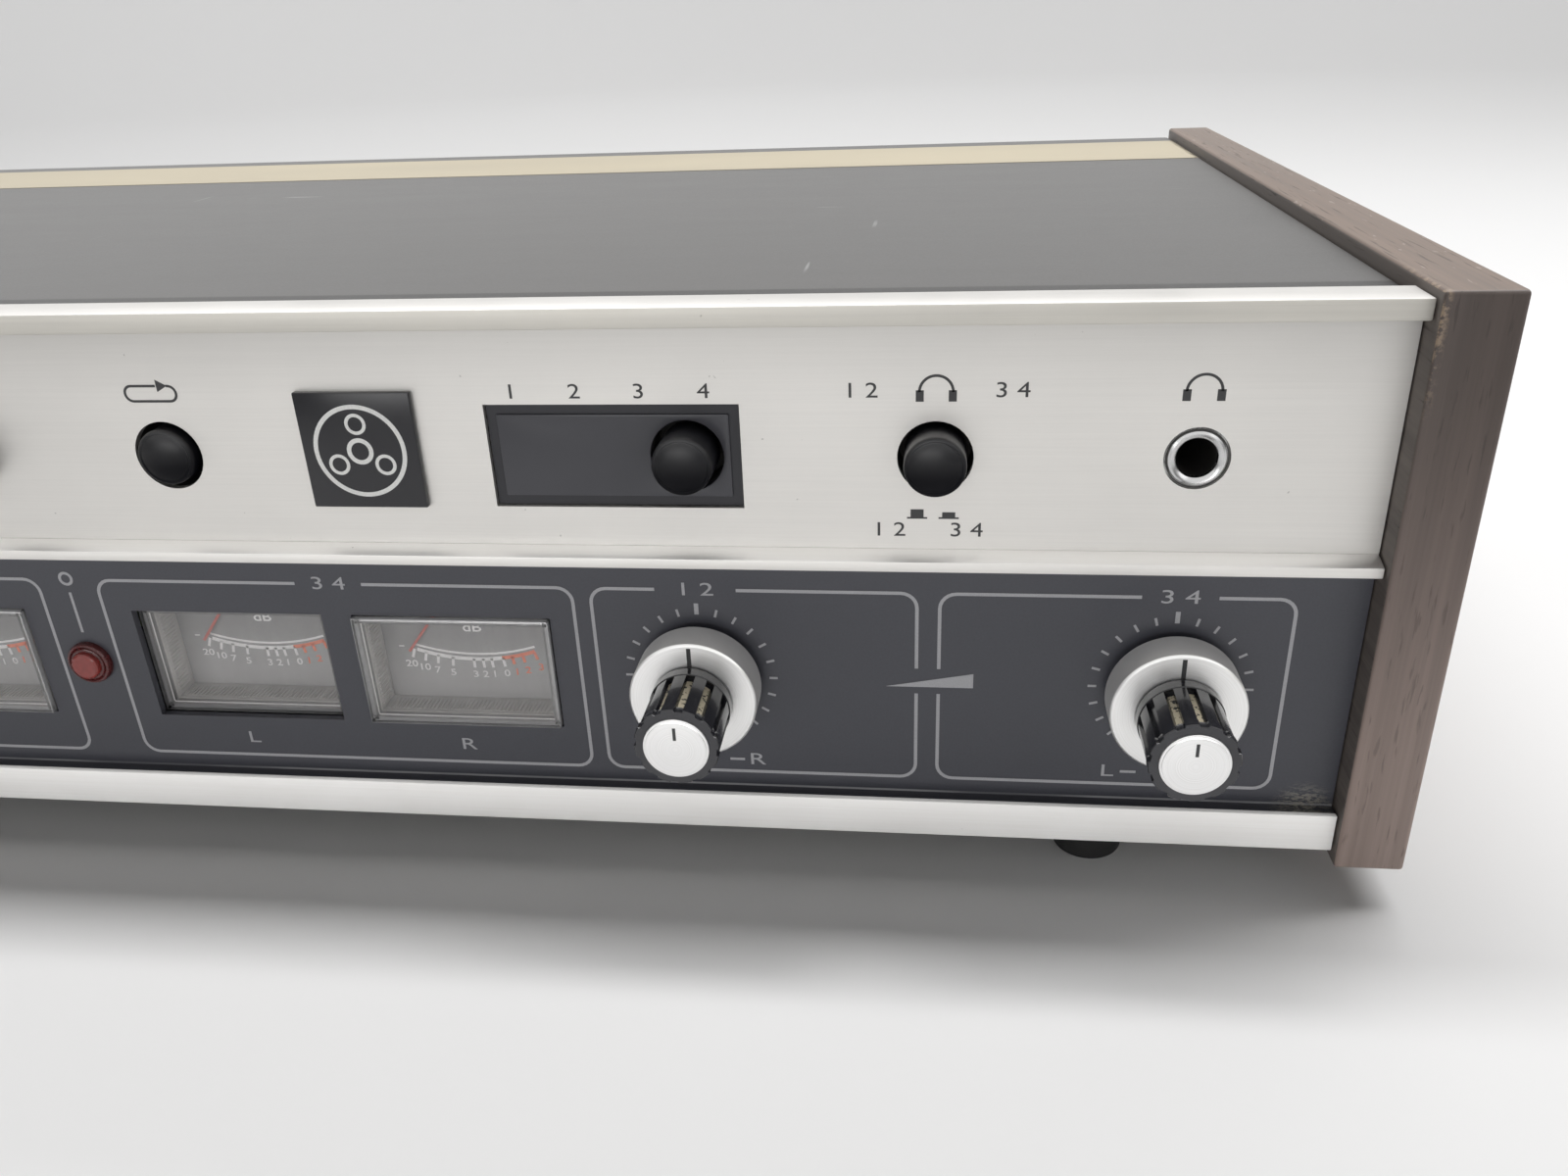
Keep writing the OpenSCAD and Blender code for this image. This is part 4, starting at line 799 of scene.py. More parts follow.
class Forge:
    """A mesh in millimetres that grows shape by shape and becomes one piece.

    Attributes:
        bm: The mesh.
        face_y: The plane that turned bodies and prints are laid on.
        paint: The finish's index of what is added next, or a function from a face's normal to it.
    """

    def __init__(self, face_y: float = FACE_Y, paint: Paint = 0) -> None:
        """Starts an empty mesh with that plane and paint."""
        self.bm, self.face_y, self.paint = bmesh.new(), face_y, paint

    def join(self, part: Shape, edge: float = 0.0, segments: int = 2) -> None:
        """Cleans a shape, rounds its sharp edges and adds it to the mesh.

        Args:
            part: The shape, which is used up.
            edge: The radius of the rounding.
            segments: The steps of the rounding.
        """
        bmesh.ops.remove_doubles(part, verts=part.verts[:], dist=MERGE)
        bmesh.ops.dissolve_degenerate(part, edges=part.edges[:], dist=MERGE)
        bmesh.ops.recalc_face_normals(part, faces=part.faces[:])
        if edge:
            sharp = [e for e in part.edges if e.is_manifold and e.calc_face_angle() > SHARP]
            soften(part, sharp, edge, segments, True)
        part.normal_update()
        for face in part.faces:
            face.material_index = self.paint(face.normal) if callable(self.paint) else self.paint
        mesh = bpy.data.meshes.new("shape")
        part.to_mesh(mesh)
        part.free()
        self.bm.from_mesh(mesh)
        bpy.data.meshes.remove(mesh)

    def block(self, low: Sequence[float], high: Sequence[float], edge: float = 0.0) -> None:
        """Adds a box between two corners with rounded edges."""
        self.join(crate(low, high), edge)

    def lathe(self, centre: Pair, profile: Sequence[Pair], steps: int, edge: float = 0.0) -> None:
        """Adds a body turned about an axis along Y.

        Args:
            centre: The axis's X and Z.
            profile: Each point's radius, and its height towards the front from the plane.
            steps: The number of steps round the axis.
            edge: The radius of the rounding of sharp edges.
        """
        x, z = centre
        line = [(x + radius, self.face_y - height, z) for radius, height in profile]
        self.join(spun(line, (x, 0.0, z), ALONG_Y, steps), edge)

    def sheet(self, part: Shape, thick: float = PRINT_T, edge: float = 0.0) -> None:
        """Thickens a flat shape that was drawn in X and Z, and lays it on the plane.

        Args:
            part: The flat shape, which is used up.
            thick: Its thickness.
            edge: The radius of the rounding of sharp edges.
        """
        thicken(part, (0.0, 0.0, thick))
        lay = Matrix.Translation((0.0, self.face_y, 0.0)) @ Matrix.Rotation(math.pi / 2, 4, "X")
        bmesh.ops.transform(part, matrix=lay, verts=part.verts[:])
        self.join(part, edge)

    def outline(
        self, low: Pair, high: Pair, radius: float, line: float, gaps: Sequence[Pairs] = ()
    ) -> None:
        """Adds a printed frame with round corners; on the meter covers it lays painted reflection and
        painted highlight.

        Args:
            low: The lowest X and Z.
            high: The highest X and Z.
            radius: The corners' radius.
            line: The line's width.
            gaps: Lowest and highest corners of places where the line is left out.
        """
        middle = Matrix.Translation(((low[0] + high[0]) / 2, (low[1] + high[1]) / 2, 0.0))
        part = card(middle, [(end - start) / 2 for start, end in zip(low, high)])
        soften(part, part.verts[:], radius, CORNER_STEPS)
        inner = part.faces[:]
        inset = {"thickness": line, "use_boundary": True, "use_even_offset": True}
        bmesh.ops.inset_region(part, faces=inner, **inset)
        bmesh.ops.delete(part, geom=inner, context="FACES")
        for start, end in gaps:
            for corner, axis in ((start, 0), (start, 1), (end, 0), (end, 1)):
                if low[axis] < corner[axis] < high[axis]:
                    geom = part.verts[:] + part.edges[:] + part.faces[:]
                    cut = {"plane_co": (*corner, 0.0), "plane_no": (1.0 - axis, float(axis), 0.0)}
                    bmesh.ops.bisect_plane(part, geom=geom, **cut)
            spots = [(face, face.calc_center_median()) for face in part.faces]
            inside = [f for f, at in spots if start[0] < at.x < end[0] and start[1] < at.y < end[1]]
            bmesh.ops.delete(part, geom=inside, context="FACES")
        self.sheet(part)

    def stroke(self, centre: Pair, turn: float, start: float, end: float, width: float) -> None:
        """Adds a printed dash that points away from a centre.

        Args:
            centre: The X and Z that it points away from.
            turn: Its angle in degrees from straight up, clockwise.
            start: Distance of its near end from the centre.
            end: Distance of its far end from the centre.
            width: Its width.
        """
        turned = Matrix.Translation((*centre, 0.0)) @ Matrix.Rotation(-math.radians(turn), 4, "Z")
        lay = turned @ Matrix.Translation((0.0, (start + end) / 2, 0.0))
        self.sheet(card(lay, (width / 2, (end - start) / 2)))

    def arc(
        self, centre: Pair, inner: float, outer: float, start: float = 0.0, end: float = 360.0
    ) -> None:
        """Adds a printed band along an arc or a whole ring; round the jacks it is a ring of painted
        shade.

        Args:
            centre: Its middle in X and Z.
            inner: Its inner radius.
            outer: Its outer radius.
            start: The angle of its start in degrees from straight up, clockwise.
            end: The angle of its end.
        """
        line = [(*polar(centre, reach, start), 0.0) for reach in (inner, outer)]
        steps = max(3, round((end - start) / ARC_STEP))
        self.sheet(spun(line, (*centre, 0.0), (0.0, 0.0, -1.0), steps, end - start))

    def shape(self, points: Sequence[Pair]) -> None:
        """Adds a printed patch.

        Args:
            points: Its outline in X and Z.
        """
        part = bmesh.new()
        part.faces.new([part.verts.new((x, z, 0.0)) for x, z in points])
        self.sheet(part)

    def patch(self, low: Pair, high: Pair) -> None:
        """Adds a printed rectangle between two corners in X and Z."""
        self.shape([low, (high[0], low[1]), high, (low[0], high[1])])

    def words(
        self, text: str, at: Pair, height: float, stretch: float = 1.25, weight: float = 0.0
    ) -> None:
        """Adds plain figures or signs, centred.

        Args:
            text: The figures.
            at: Their middle in X and Z.
            height: The height of a capital.
            stretch: Their width against that of the plain font.
            weight: How much the strokes are thickened, as a share of the font's size.
        """
        curve = bpy.data.curves.new("figures", "FONT")
        curve.body = text
        curve.align_x = curve.align_y = "CENTER"
        curve.offset = weight
        carrier = bpy.data.objects.new("figures", curve)
        mesh = bpy.data.meshes.new_from_object(carrier)
        part = bmesh.new()
        part.from_mesh(mesh)
        size = height / CAPITAL
        lay = Matrix.Translation((*at, 0.0)) @ Matrix.Diagonal((size * stretch, size, 1.0, 1.0))
        bmesh.ops.transform(part, matrix=lay, verts=part.verts[:])
        bpy.data.objects.remove(carrier)
        bpy.data.curves.remove(curve)
        bpy.data.meshes.remove(mesh)
        self.sheet(part)

    def piece(
        self, name: str, finishes: Sequence[Finish], slot: str, node: str = "", body: str = CHASSIS
    ) -> None:
        """Turns the mesh into a piece of the object.

        Args:
            name: The piece's name.
            finishes: The finishes by index.
            slot: The record's material slot; it is not used.
            node: The CAD node that it replaces, if any.
            body: The CAD body that it rides on.
        """
        bmesh.ops.scale(self.bm, vec=(MM, MM, MM), verts=self.bm.verts[:])
        mesh = bpy.data.meshes.new(name)
        self.bm.to_mesh(mesh)
        self.bm.free()
        for finish in finishes:
            mesh.materials.append(finish.material())
        mesh.shade_smooth()
        mesh.set_sharp_from_angle(angle=CREASE)
        made = bpy.data.objects.new(name, mesh)
        bpy.context.scene.collection.objects.link(made)
        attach(made, body)
        if node:
            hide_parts(node)
        LOG.info("made %s on %s", name, body)


@dataclass
class Cabinet:
    """The wood-grain end panels, the folded top cover with its tape, and the feet."""

    panel_edge: float = 0.7
    fold: float = 1.1
    sheet_t: float = 1.2
    tape_y: Pair = (71.9, 116.0)
    tape_t: float = 0.12
    tape_short: float = 0.6
    tape_rows: int = 30
    tooth: float = 1.5
    foot_r: float = 7.5
    foot_taper: Pair = (1.0, 1.5)
    foot_well: Pair = (3.1, 5.0)
    foot_hole: float = 1.7
    foot_edge: float = 0.4
    foot_steps: int = 48

    def end_panel(self, side: Side) -> None:
        """Builds one end panel with rounded, worn edges, a front and back paled by painted light and an
        inner face darkened by painted shade.

        Args:
            side: The side that it stands on.
        """
        name = f"end_panel_{side.name.lower()}"

        def paint(normal: Vector) -> int:
            """Returns the finish for a face by the way that it faces: plain vinyl, its painted-light
            copy or its painted-shade copy.
            """
            return 2 if normal.x * side.value < -0.9 else int(abs(normal.y) > 0.4)

        forge = Forge(paint=paint)
        forge.join(crate(*span(name)), self.panel_edge, 3)
        forge.piece(f"wood_{name}", [WOOD_LONG, WOOD_UPRIGHT_PAINTED_LIGHT, WOOD_INNER_SHADED], "wood_vinyl", name)

    def cover(self) -> None:
        """Builds the top cover as a sheet folded down at both sides and the rear."""
        box = crate(*span("top_cover"))
        forge = Forge()
        forge.join(shell(box, lambda normal: min(normal.y, normal.z) < -0.5, self.fold, 4, self.sheet_t))
        forge.piece("folded_top_cover", [COVER_PAINT], "cover_paint", "top_cover")

    def tape(self) -> None:
        """Lays the strip of cream tape, saw-toothed at both ends, along the rear of the cover."""
        start, end = self.tape_y
        lay = Matrix.Translation((0.0, (start + end) / 2, span("top_cover")[1].z))
        part = card(lay, (BAR_X - self.tape_short, (end - start) / 2), self.tape_rows)
        rows = sorted({round(v.co.y, 3) for v in part.verts})
        for vert in part.verts:
            if rows.index(round(vert.co.y, 3)) % 2:
                vert.co.x -= math.copysign(self.tooth, vert.co.x)
        thicken(part, (0.0, 0.0, self.tape_t))
        forge = Forge()
        forge.join(part)
        forge.piece("cream_tape_strip", [TAPE_CREAM], "cover_paint")

    def feet(self) -> None:
        """Turns the four rubber feet, each with a well for its screw."""
        low, high = span("feet")
        top, r, hole = high.z, self.foot_r, self.foot_hole
        taper, band = self.foot_taper
        bore, well = self.foot_well
        profile = [(r, top), (r, top - band), (r - taper, 0.0), (bore, 0.0), (bore, well)]
        profile += [(hole, well), (hole, top), (r, top)]
        forge = Forge()
        for x in (low.x + r, high.x - r):
            for y in (low.y + r, high.y - r):
                line = [(x + reach, y, z) for reach, z in profile]
                forge.join(spun(line, (x, y, 0.0), ALONG_Z, self.foot_steps), self.foot_edge)
        forge.piece("rubber_feet", [RUBBER], "foot_rubber", "feet")

    def build(self) -> None:
        """Builds the whole cabinet."""
        for side in Side:
            self.end_panel(side)
        self.cover()
        self.tape()
        self.feet()


@dataclass
class FrontStack:
    """The three trim bars, the badge plate and the smoked selector window."""

    bar_t: float = 1.2
    slope: float = 1.0
    lip: float = 0.25
    reel: tuple[Pair, ...] = ((7.6, 8.4), (1.6, 2.4))
    reel_hole: Pair = (1.3, 1.9)
    reel_reach: float = 4.9
    sill: float = 2.2
    button_r: float = 6.3
    button_steps: int = 64
    layers: tuple[tuple[int, float, float, float, float], ...] = (
        (1, 0.0, 0.85, 2.6, 0.0),
        (0, 1.7, 0.45, 0.9, 0.2),
    )

    def bars(self) -> None:
        """Builds the trim bars from their sections in Y and Z."""
        sections = {}
        low, high = span("top_bar")
        shelf = high.z - self.bar_t
        sections["top_bar"] = [(low.y, high.z), (high.y, high.z), (high.y, shelf), (FACE_Y, shelf)]
        sections["top_bar"] += [(FACE_Y, low.z), (low.y, low.z)]
        low, high = span("middle_bar")
        sections["middle_bar"] = [(high.y, high.z), (high.y, low.z), (low.y, low.z)]
        sections["middle_bar"] += [(low.y, high.z - self.slope)]
        low, high = span("bottom_bar")
        back, shelf = low.y + self.bar_t, low.z + self.bar_t
        sections["bottom_bar"] = [(low.y, low.z), (high.y, low.z), (high.y, shelf), (back, shelf)]
        sections["bottom_bar"] += [(back, high.z), (low.y, high.z)]
        # The upward faces take their own copies: the top bar's is darker as painted shade, the middle
        # bar's ledge paler as painted highlight.
        finishes = ([TRIM_UPPER, TRIM_CREST_SHADED], [TRIM_MIDDLE, TRIM_LEDGE_LIT], [TRIM_LOWER, TRIM_LOWER])
        for (name, section), pair in zip(sections.items(), finishes):
            part = bmesh.new()
            part.faces.new([part.verts.new((-BAR_X, y, z)) for y, z in section])
            thicken(part, (2 * BAR_X, 0.0, 0.0))
            forge = Forge(paint=lambda normal: int(normal.z > 0.5))
            forge.join(part, self.lip)
            forge.piece(f"trim_{name}", pair, "trim_aluminium", name)

    def badge(self) -> None:
        """Builds the badge plate with a plain reel sign."""
        low, high = span("badge_plate")
        middle = halfway(low, high)
        forge = Forge(low.y)
        forge.block(low, high, self.lip)
        forge.paint = 1
        for inner, outer in self.reel:
            forge.arc(middle, inner, outer)
        for turn in (0.0, 120.0, 240.0):
            forge.arc(polar(middle, self.reel_reach, turn), *self.reel_hole)
        forge.piece("badge_with_reel_sign", [BADGE_BLACK, INK_WHITE], "badge_black", "badge_plate")

    def window(self) -> None:
        """Builds the selector window, a sunk plate with a raised field and a hole for its button."""
        low, high = span("selector_window")
        middle = Matrix.Translation((*halfway(low, high), 0.0))
        hole = Matrix.Translation((*halfway(*span("button_channels")), 0.0))
        forge = Forge()
        for paint, inset, front, back, edge in self.layers:
            part = card(middle, [(high[axis] - low[axis]) / 2 - self.sill - inset for axis in (0, 2)])
            bmesh.ops.delete(part, geom=part.faces[:], context="FACES_ONLY")
            ring = {"radius": self.button_r, "segments": self.button_steps}
            bmesh.ops.create_circle(part, matrix=hole, **ring)
            bmesh.ops.triangle_fill(part, edges=part.edges[:], use_beauty=True, use_dissolve=False)
            forge.face_y, forge.paint = FACE_Y + back, paint
            forge.sheet(part, back - front, edge)
        forge.piece("smoked_window", [WINDOW_FIELD, WINDOW_RIM], "smoked_plastic", "selector_window")

    def build(self) -> None:
        """Builds the stack's own pieces."""
        self.bars()
        self.badge()
        self.window()


@dataclass
class PrintedMarks:
    """The printing on both fascias: frames, dashes, figures and plain signs."""

    line: float = 0.62
    corner: float = 3.2
    frame_z: Pair = (20.2, 59.1)
    figure: float = 2.5
    wide: float = 1.5
    sign_z: float = 95.2
    loop_x: float = 18.9
    phones_x: Pair = (155.2, 197.1)
    forward_x: Pair = (-22.3, -19.1)
    push_signs: tuple[Pair, ...] = ((152.3, 74.6), (157.6, 74.1))
    upper_words: Words = (
        (95.2, (("1", 84.0), ("2", 95.0), ("3", 106.0), ("4", 117.0), ("1 2", 143.0), ("3 4", 167.4))),
        (70.8, (("1 2", 147.6), ("3 4", 160.6))),
        (95.2, (("1", -101.7), ("2", -94.7), ("3", -87.7), ("4", -80.7), ("1 - 4", -60.7))),
    )
    lower_words: Words = (
        (58.8, (("3 4", 197.0), ("1 2", 113.0), ("3 4", 43.9), ("1 2", -60.9), ("0", -164.0))),
        (24.5, (("L", 21.3), ("R", 65.8), ("L", -83.1), ("R", -38.8))),
        (52.6, (("L", -152.7), ("R", -129.7))),
    )
    frames: tuple[Pairs, ...] = (
        ((156.1, 216.5), (190.6, 203.4)),
        ((93.4, 152.75), (105.6, 120.4)),
        ((-3.0, 90.6), (37.4, 50.4)),
        ((-108.1, -14.5), (-67.4, -54.4)),
        ((-216.5, -111.4), (-170.5, -157.5)),
    )
    wedge: tuple[Pair, ...] = ((147.0, 40.0), (162.6, 40.0), (162.6, 42.9))
    wedge_gap: Pairs = ((145.4, 38.6), (164.0, 43.8))
    switch_sign: Pair = (-201.7, 52.6)
    dots: tuple[Pair, ...] = ((-8.7, 59.0), (-175.7, 52.6))
    dot: Pair = (0.9, 1.45)
    lead: Pair = (-8.7, 47.5)

    def loop_sign(self, forge: Forge) -> None:
        """Draws an endless loop with an arrow head.

        Args:
            forge: The print.
        """
        x, z = self.loop_x, self.sign_z
        gap = ((x + 1.2, z + 0.6), (x + 3.2, z + 2.4))
        forge.outline((x - 5.0, z - 1.6), (x + 5.0, z + 1.6), 1.55, 0.45, [gap])
        forge.shape([(x + 3.4, z + 1.4), (x + 1.4, z + 2.5), (x + 1.4, z + 0.3)])

    def upper(self) -> None:
        """Prints the dark signs on the brushed fascia."""
        z = self.sign_z
        forge = Forge()
        self.loop_sign(forge)
        for x in self.phones_x:
            forge.arc((x, z - 0.2), 2.5, 2.95, -90.0, 90.0)
            for near, far in ((-3.3, -2.0), (2.0, 3.3)):
                forge.patch((x + near, z - 1.8), (x + far, z + 0.1))
        for row, words in self.upper_words:
            for text, x in words:
                forge.words(text, (x, row), self.figure)
        for x, top in self.push_signs:
            forge.patch((x - 1.7, 72.9), (x + 1.7, 73.2))
            forge.patch((x - 1.1, 73.2), (x + 1.1, top))
        for x in self.forward_x:
            forge.shape([(x - 1.5, z - 1.2), (x + 1.5, z), (x - 1.5, z + 1.2)])
        forge.piece("upper_fascia_print", [INK_DARK], "upper_aluminium")

    def volume(self, forge: Forge, centre: Pair) -> None:
        """Prints the dashes round one volume control, and its two letters.

        Args:
            forge: The print.
            centre: The control's axis.
        """
        for step in range(-9, 10):
            dash = (12.7, 14.2, 0.45) if step else (12.8, 15.0, 0.8)
            forge.stroke(centre, step * 15.0, *dash)
        for text, at, near, far in (("L", -9.6, -7.2, -4.4), ("R", 9.6, 4.4, 7.2)):
            forge.words(text, (centre[0] + at, 23.2), self.figure, self.wide)
            forge.patch((centre[0] + near, 22.95), (centre[0] + far, 23.45))

    def lower(self) -> None:
        """Prints the pale frames, dashes and signs on the dark fascia."""
        low_z, high_z = self.frame_z
        forge = Forge()
        for (start, end), (gap_start, gap_end) in self.frames:
            gaps = [((gap_start, high_z - 2.0), (gap_end, high_z + 2.0)), self.wedge_gap]
            forge.outline((start, low_z), (end, high_z), self.corner, self.line, gaps)
        forge.shape(self.wedge)
        for name in ("front", "rear"):
            self.volume(forge, halfway(*span(f"volume_ring_{name}")))
        for row, words in self.lower_words:
            for text, x in words:
                forge.words(text, (x, row), self.figure, self.wide)
        forge.words("I O", self.switch_sign, self.figure, 1.3)
        for dot in self.dots:
            forge.arc(dot, *self.dot)
        forge.stroke(self.lead, 0.0, 0.0, 8.6, 0.55)
        forge.piece("lower_fascia_print", [INK_PALE], "lower_paint")

    def build(self) -> None:
        """Prints both fascias."""
        self.upper()
        self.lower()


@dataclass
class PushButtons:
    """The seven moulded push buttons, turned with a domed face and a soft rim."""

    names: str = "headphone channels repeat forward program record power"
    steps: int = 56
    deep: float = 10.0
    stem: Pair = (2.0, 0.2)
    lit: Pair = (-2.5, 4.5)
    profile: tuple[Pair, ...] = (
        *((0.0, 0.0), (1.4, -0.08), (2.8, -0.33), (3.6, -0.6), (4.1, -0.82), (4.3, -0.95)),
        *((4.42, -0.97), (4.55, -0.88), (4.75, -0.91), (4.95, -1.07), (5.08, -1.33), (5.15, -1.8)),
    )

    def build(self) -> None:
        """Turns each button and its stem."""
        half, edge = self.stem
        wall = ((self.profile[-1][0], -self.deep), (0.0, -self.deep))
        for name in self.names.split():
            node = f"button_{name}"
            low, high = span(node)
            x, z = halfway(low, high)
            forge = Forge(low.y)
            forge.lathe((x, z), self.profile + wall, self.steps)
            start = (x - half, low.y + self.deep - edge, z - half)
            forge.block(start, (x + half, high.y, z + half), edge)
            # Painted highlight: the coat grows towards each button's top, so that its upper part shines
            # and its lower part stays dark.
            lit = tuple(z + step for step in self.lit)
            gloss = {"coat": 1.0, "shine": 0.1, "highlight_coat_z": lit, "coat_rough": 0.42}
            black = MouldedPlastic(f"{node}_moulded", (0.0045, 0.0045, 0.0065), 0.36, **gloss)
            forge.piece(f"turned_{node}", [black], "button_black", node, f"{name}_button")


@dataclass
class JacksAndLamps:
    """The jacks' plated collars and the lenses of the lamps."""

    bore: float = 3.25
    collar: float = 4.75
    body: float = 8.0
    rear: float = -31.0
    jack_x: tuple[float, ...] = (197.1, -152.7, -129.7)
    lens_rear: float = -8.0
    lens_step: float = 0.9
    collar_steps: int = 64
    steps: int = 48
    flange: tuple[Pair, ...] = (
        *((1.0, 0.0), (1.0, 0.34), (0.95, 0.48), (0.86, 0.52)),
        *((0.8, 0.4), (0.76, 0.52), (0.7, 0.56), (0.0, 0.56)),
    )
    dome: tuple[Pair, ...] = (
        *((0.0, 0.5), (0.66, 0.5), (0.66, 0.76), (0.62, 0.9)),
        *((0.54, 0.98), (0.3, 0.97), (0.0, 0.96)),
    )

    def jacks(self) -> None:
        """Turns the three jacks with a rolled lip and a dark bore, and lays a dark ring of painted shade
        round each collar.
        """
        low, high = span("jacks")
        b, c, rear = self.bore, self.collar, self.rear
        lip = [(b, -0.9), (b + 0.15, -0.25), (b + 0.5, 0.05), (c - 0.55, 0.2)]
        lip += [(c - 0.15, 0.0), (c, -0.4)]
        barrel = [(c, -1.5), (self.body, -1.5), (self.body, rear), (b + 0.4, rear), (b + 0.4, -0.9)]
        sleeve = [(b, -0.9), (b, rear + 1.6), (0.0, rear + 1.6), (0.0, rear)]
        sleeve += [(b + 0.38, rear), (b + 0.38, -0.9)]
        forge = Forge()
        for x in self.jack_x:
            centre = (x, high.z - self.body if x > 0 else low.z + self.body)
            forge.paint = 0
            forge.lathe(centre, lip + barrel + lip[:1], self.collar_steps)
            forge.paint = 1
            forge.lathe(centre, sleeve, self.steps)
            # Painted shade: a dark ring round the collar where the gap in the fascia lies in shadow.
            forge.arc(centre, c + 0.02, c + 0.26)
        forge.piece("plated_jacks", [CHROME, BORE_AND_GAP_SHADE], "jack_metal", "jacks")

    def lamps(self, node: str, count: int) -> None:
        """Builds a row of lenses, each with a darker stepped flange and a domed middle.

        Args:
            node: The CAD node's name.
            count: The number of lenses.
        """
        low, high = span(node)
        radius, proud = (high.z - low.z) / 2, FACE_Y - low.y
        first, last = low.x + radius, high.x - radius
        flange, dome = ([(radius * r, proud * h) for r, h in line] for line in (self.flange, self.dome))
        neck = radius - self.lens_step
        stem = [(0.0, self.lens_rear), (neck, self.lens_rear), (neck, 0.0)]
        forge = Forge()
        for i in range(count):
            centre = (first + (last - first) * i / max(1, count - 1), (low.z + high.z) / 2)
            for paint, profile in ((1, stem + flange), (0, dome)):
                forge.paint = paint
                forge.lathe(centre, profile, self.steps)
        forge.piece(f"{node}_lens", [RED_LENS, RED_FLANGE], "red_lens", node)

    def build(self) -> None:
        """Builds jacks and lamps."""
        self.jacks()
        self.lamps("record_lamp", 1)
        self.lamps("program_lamps", 4)


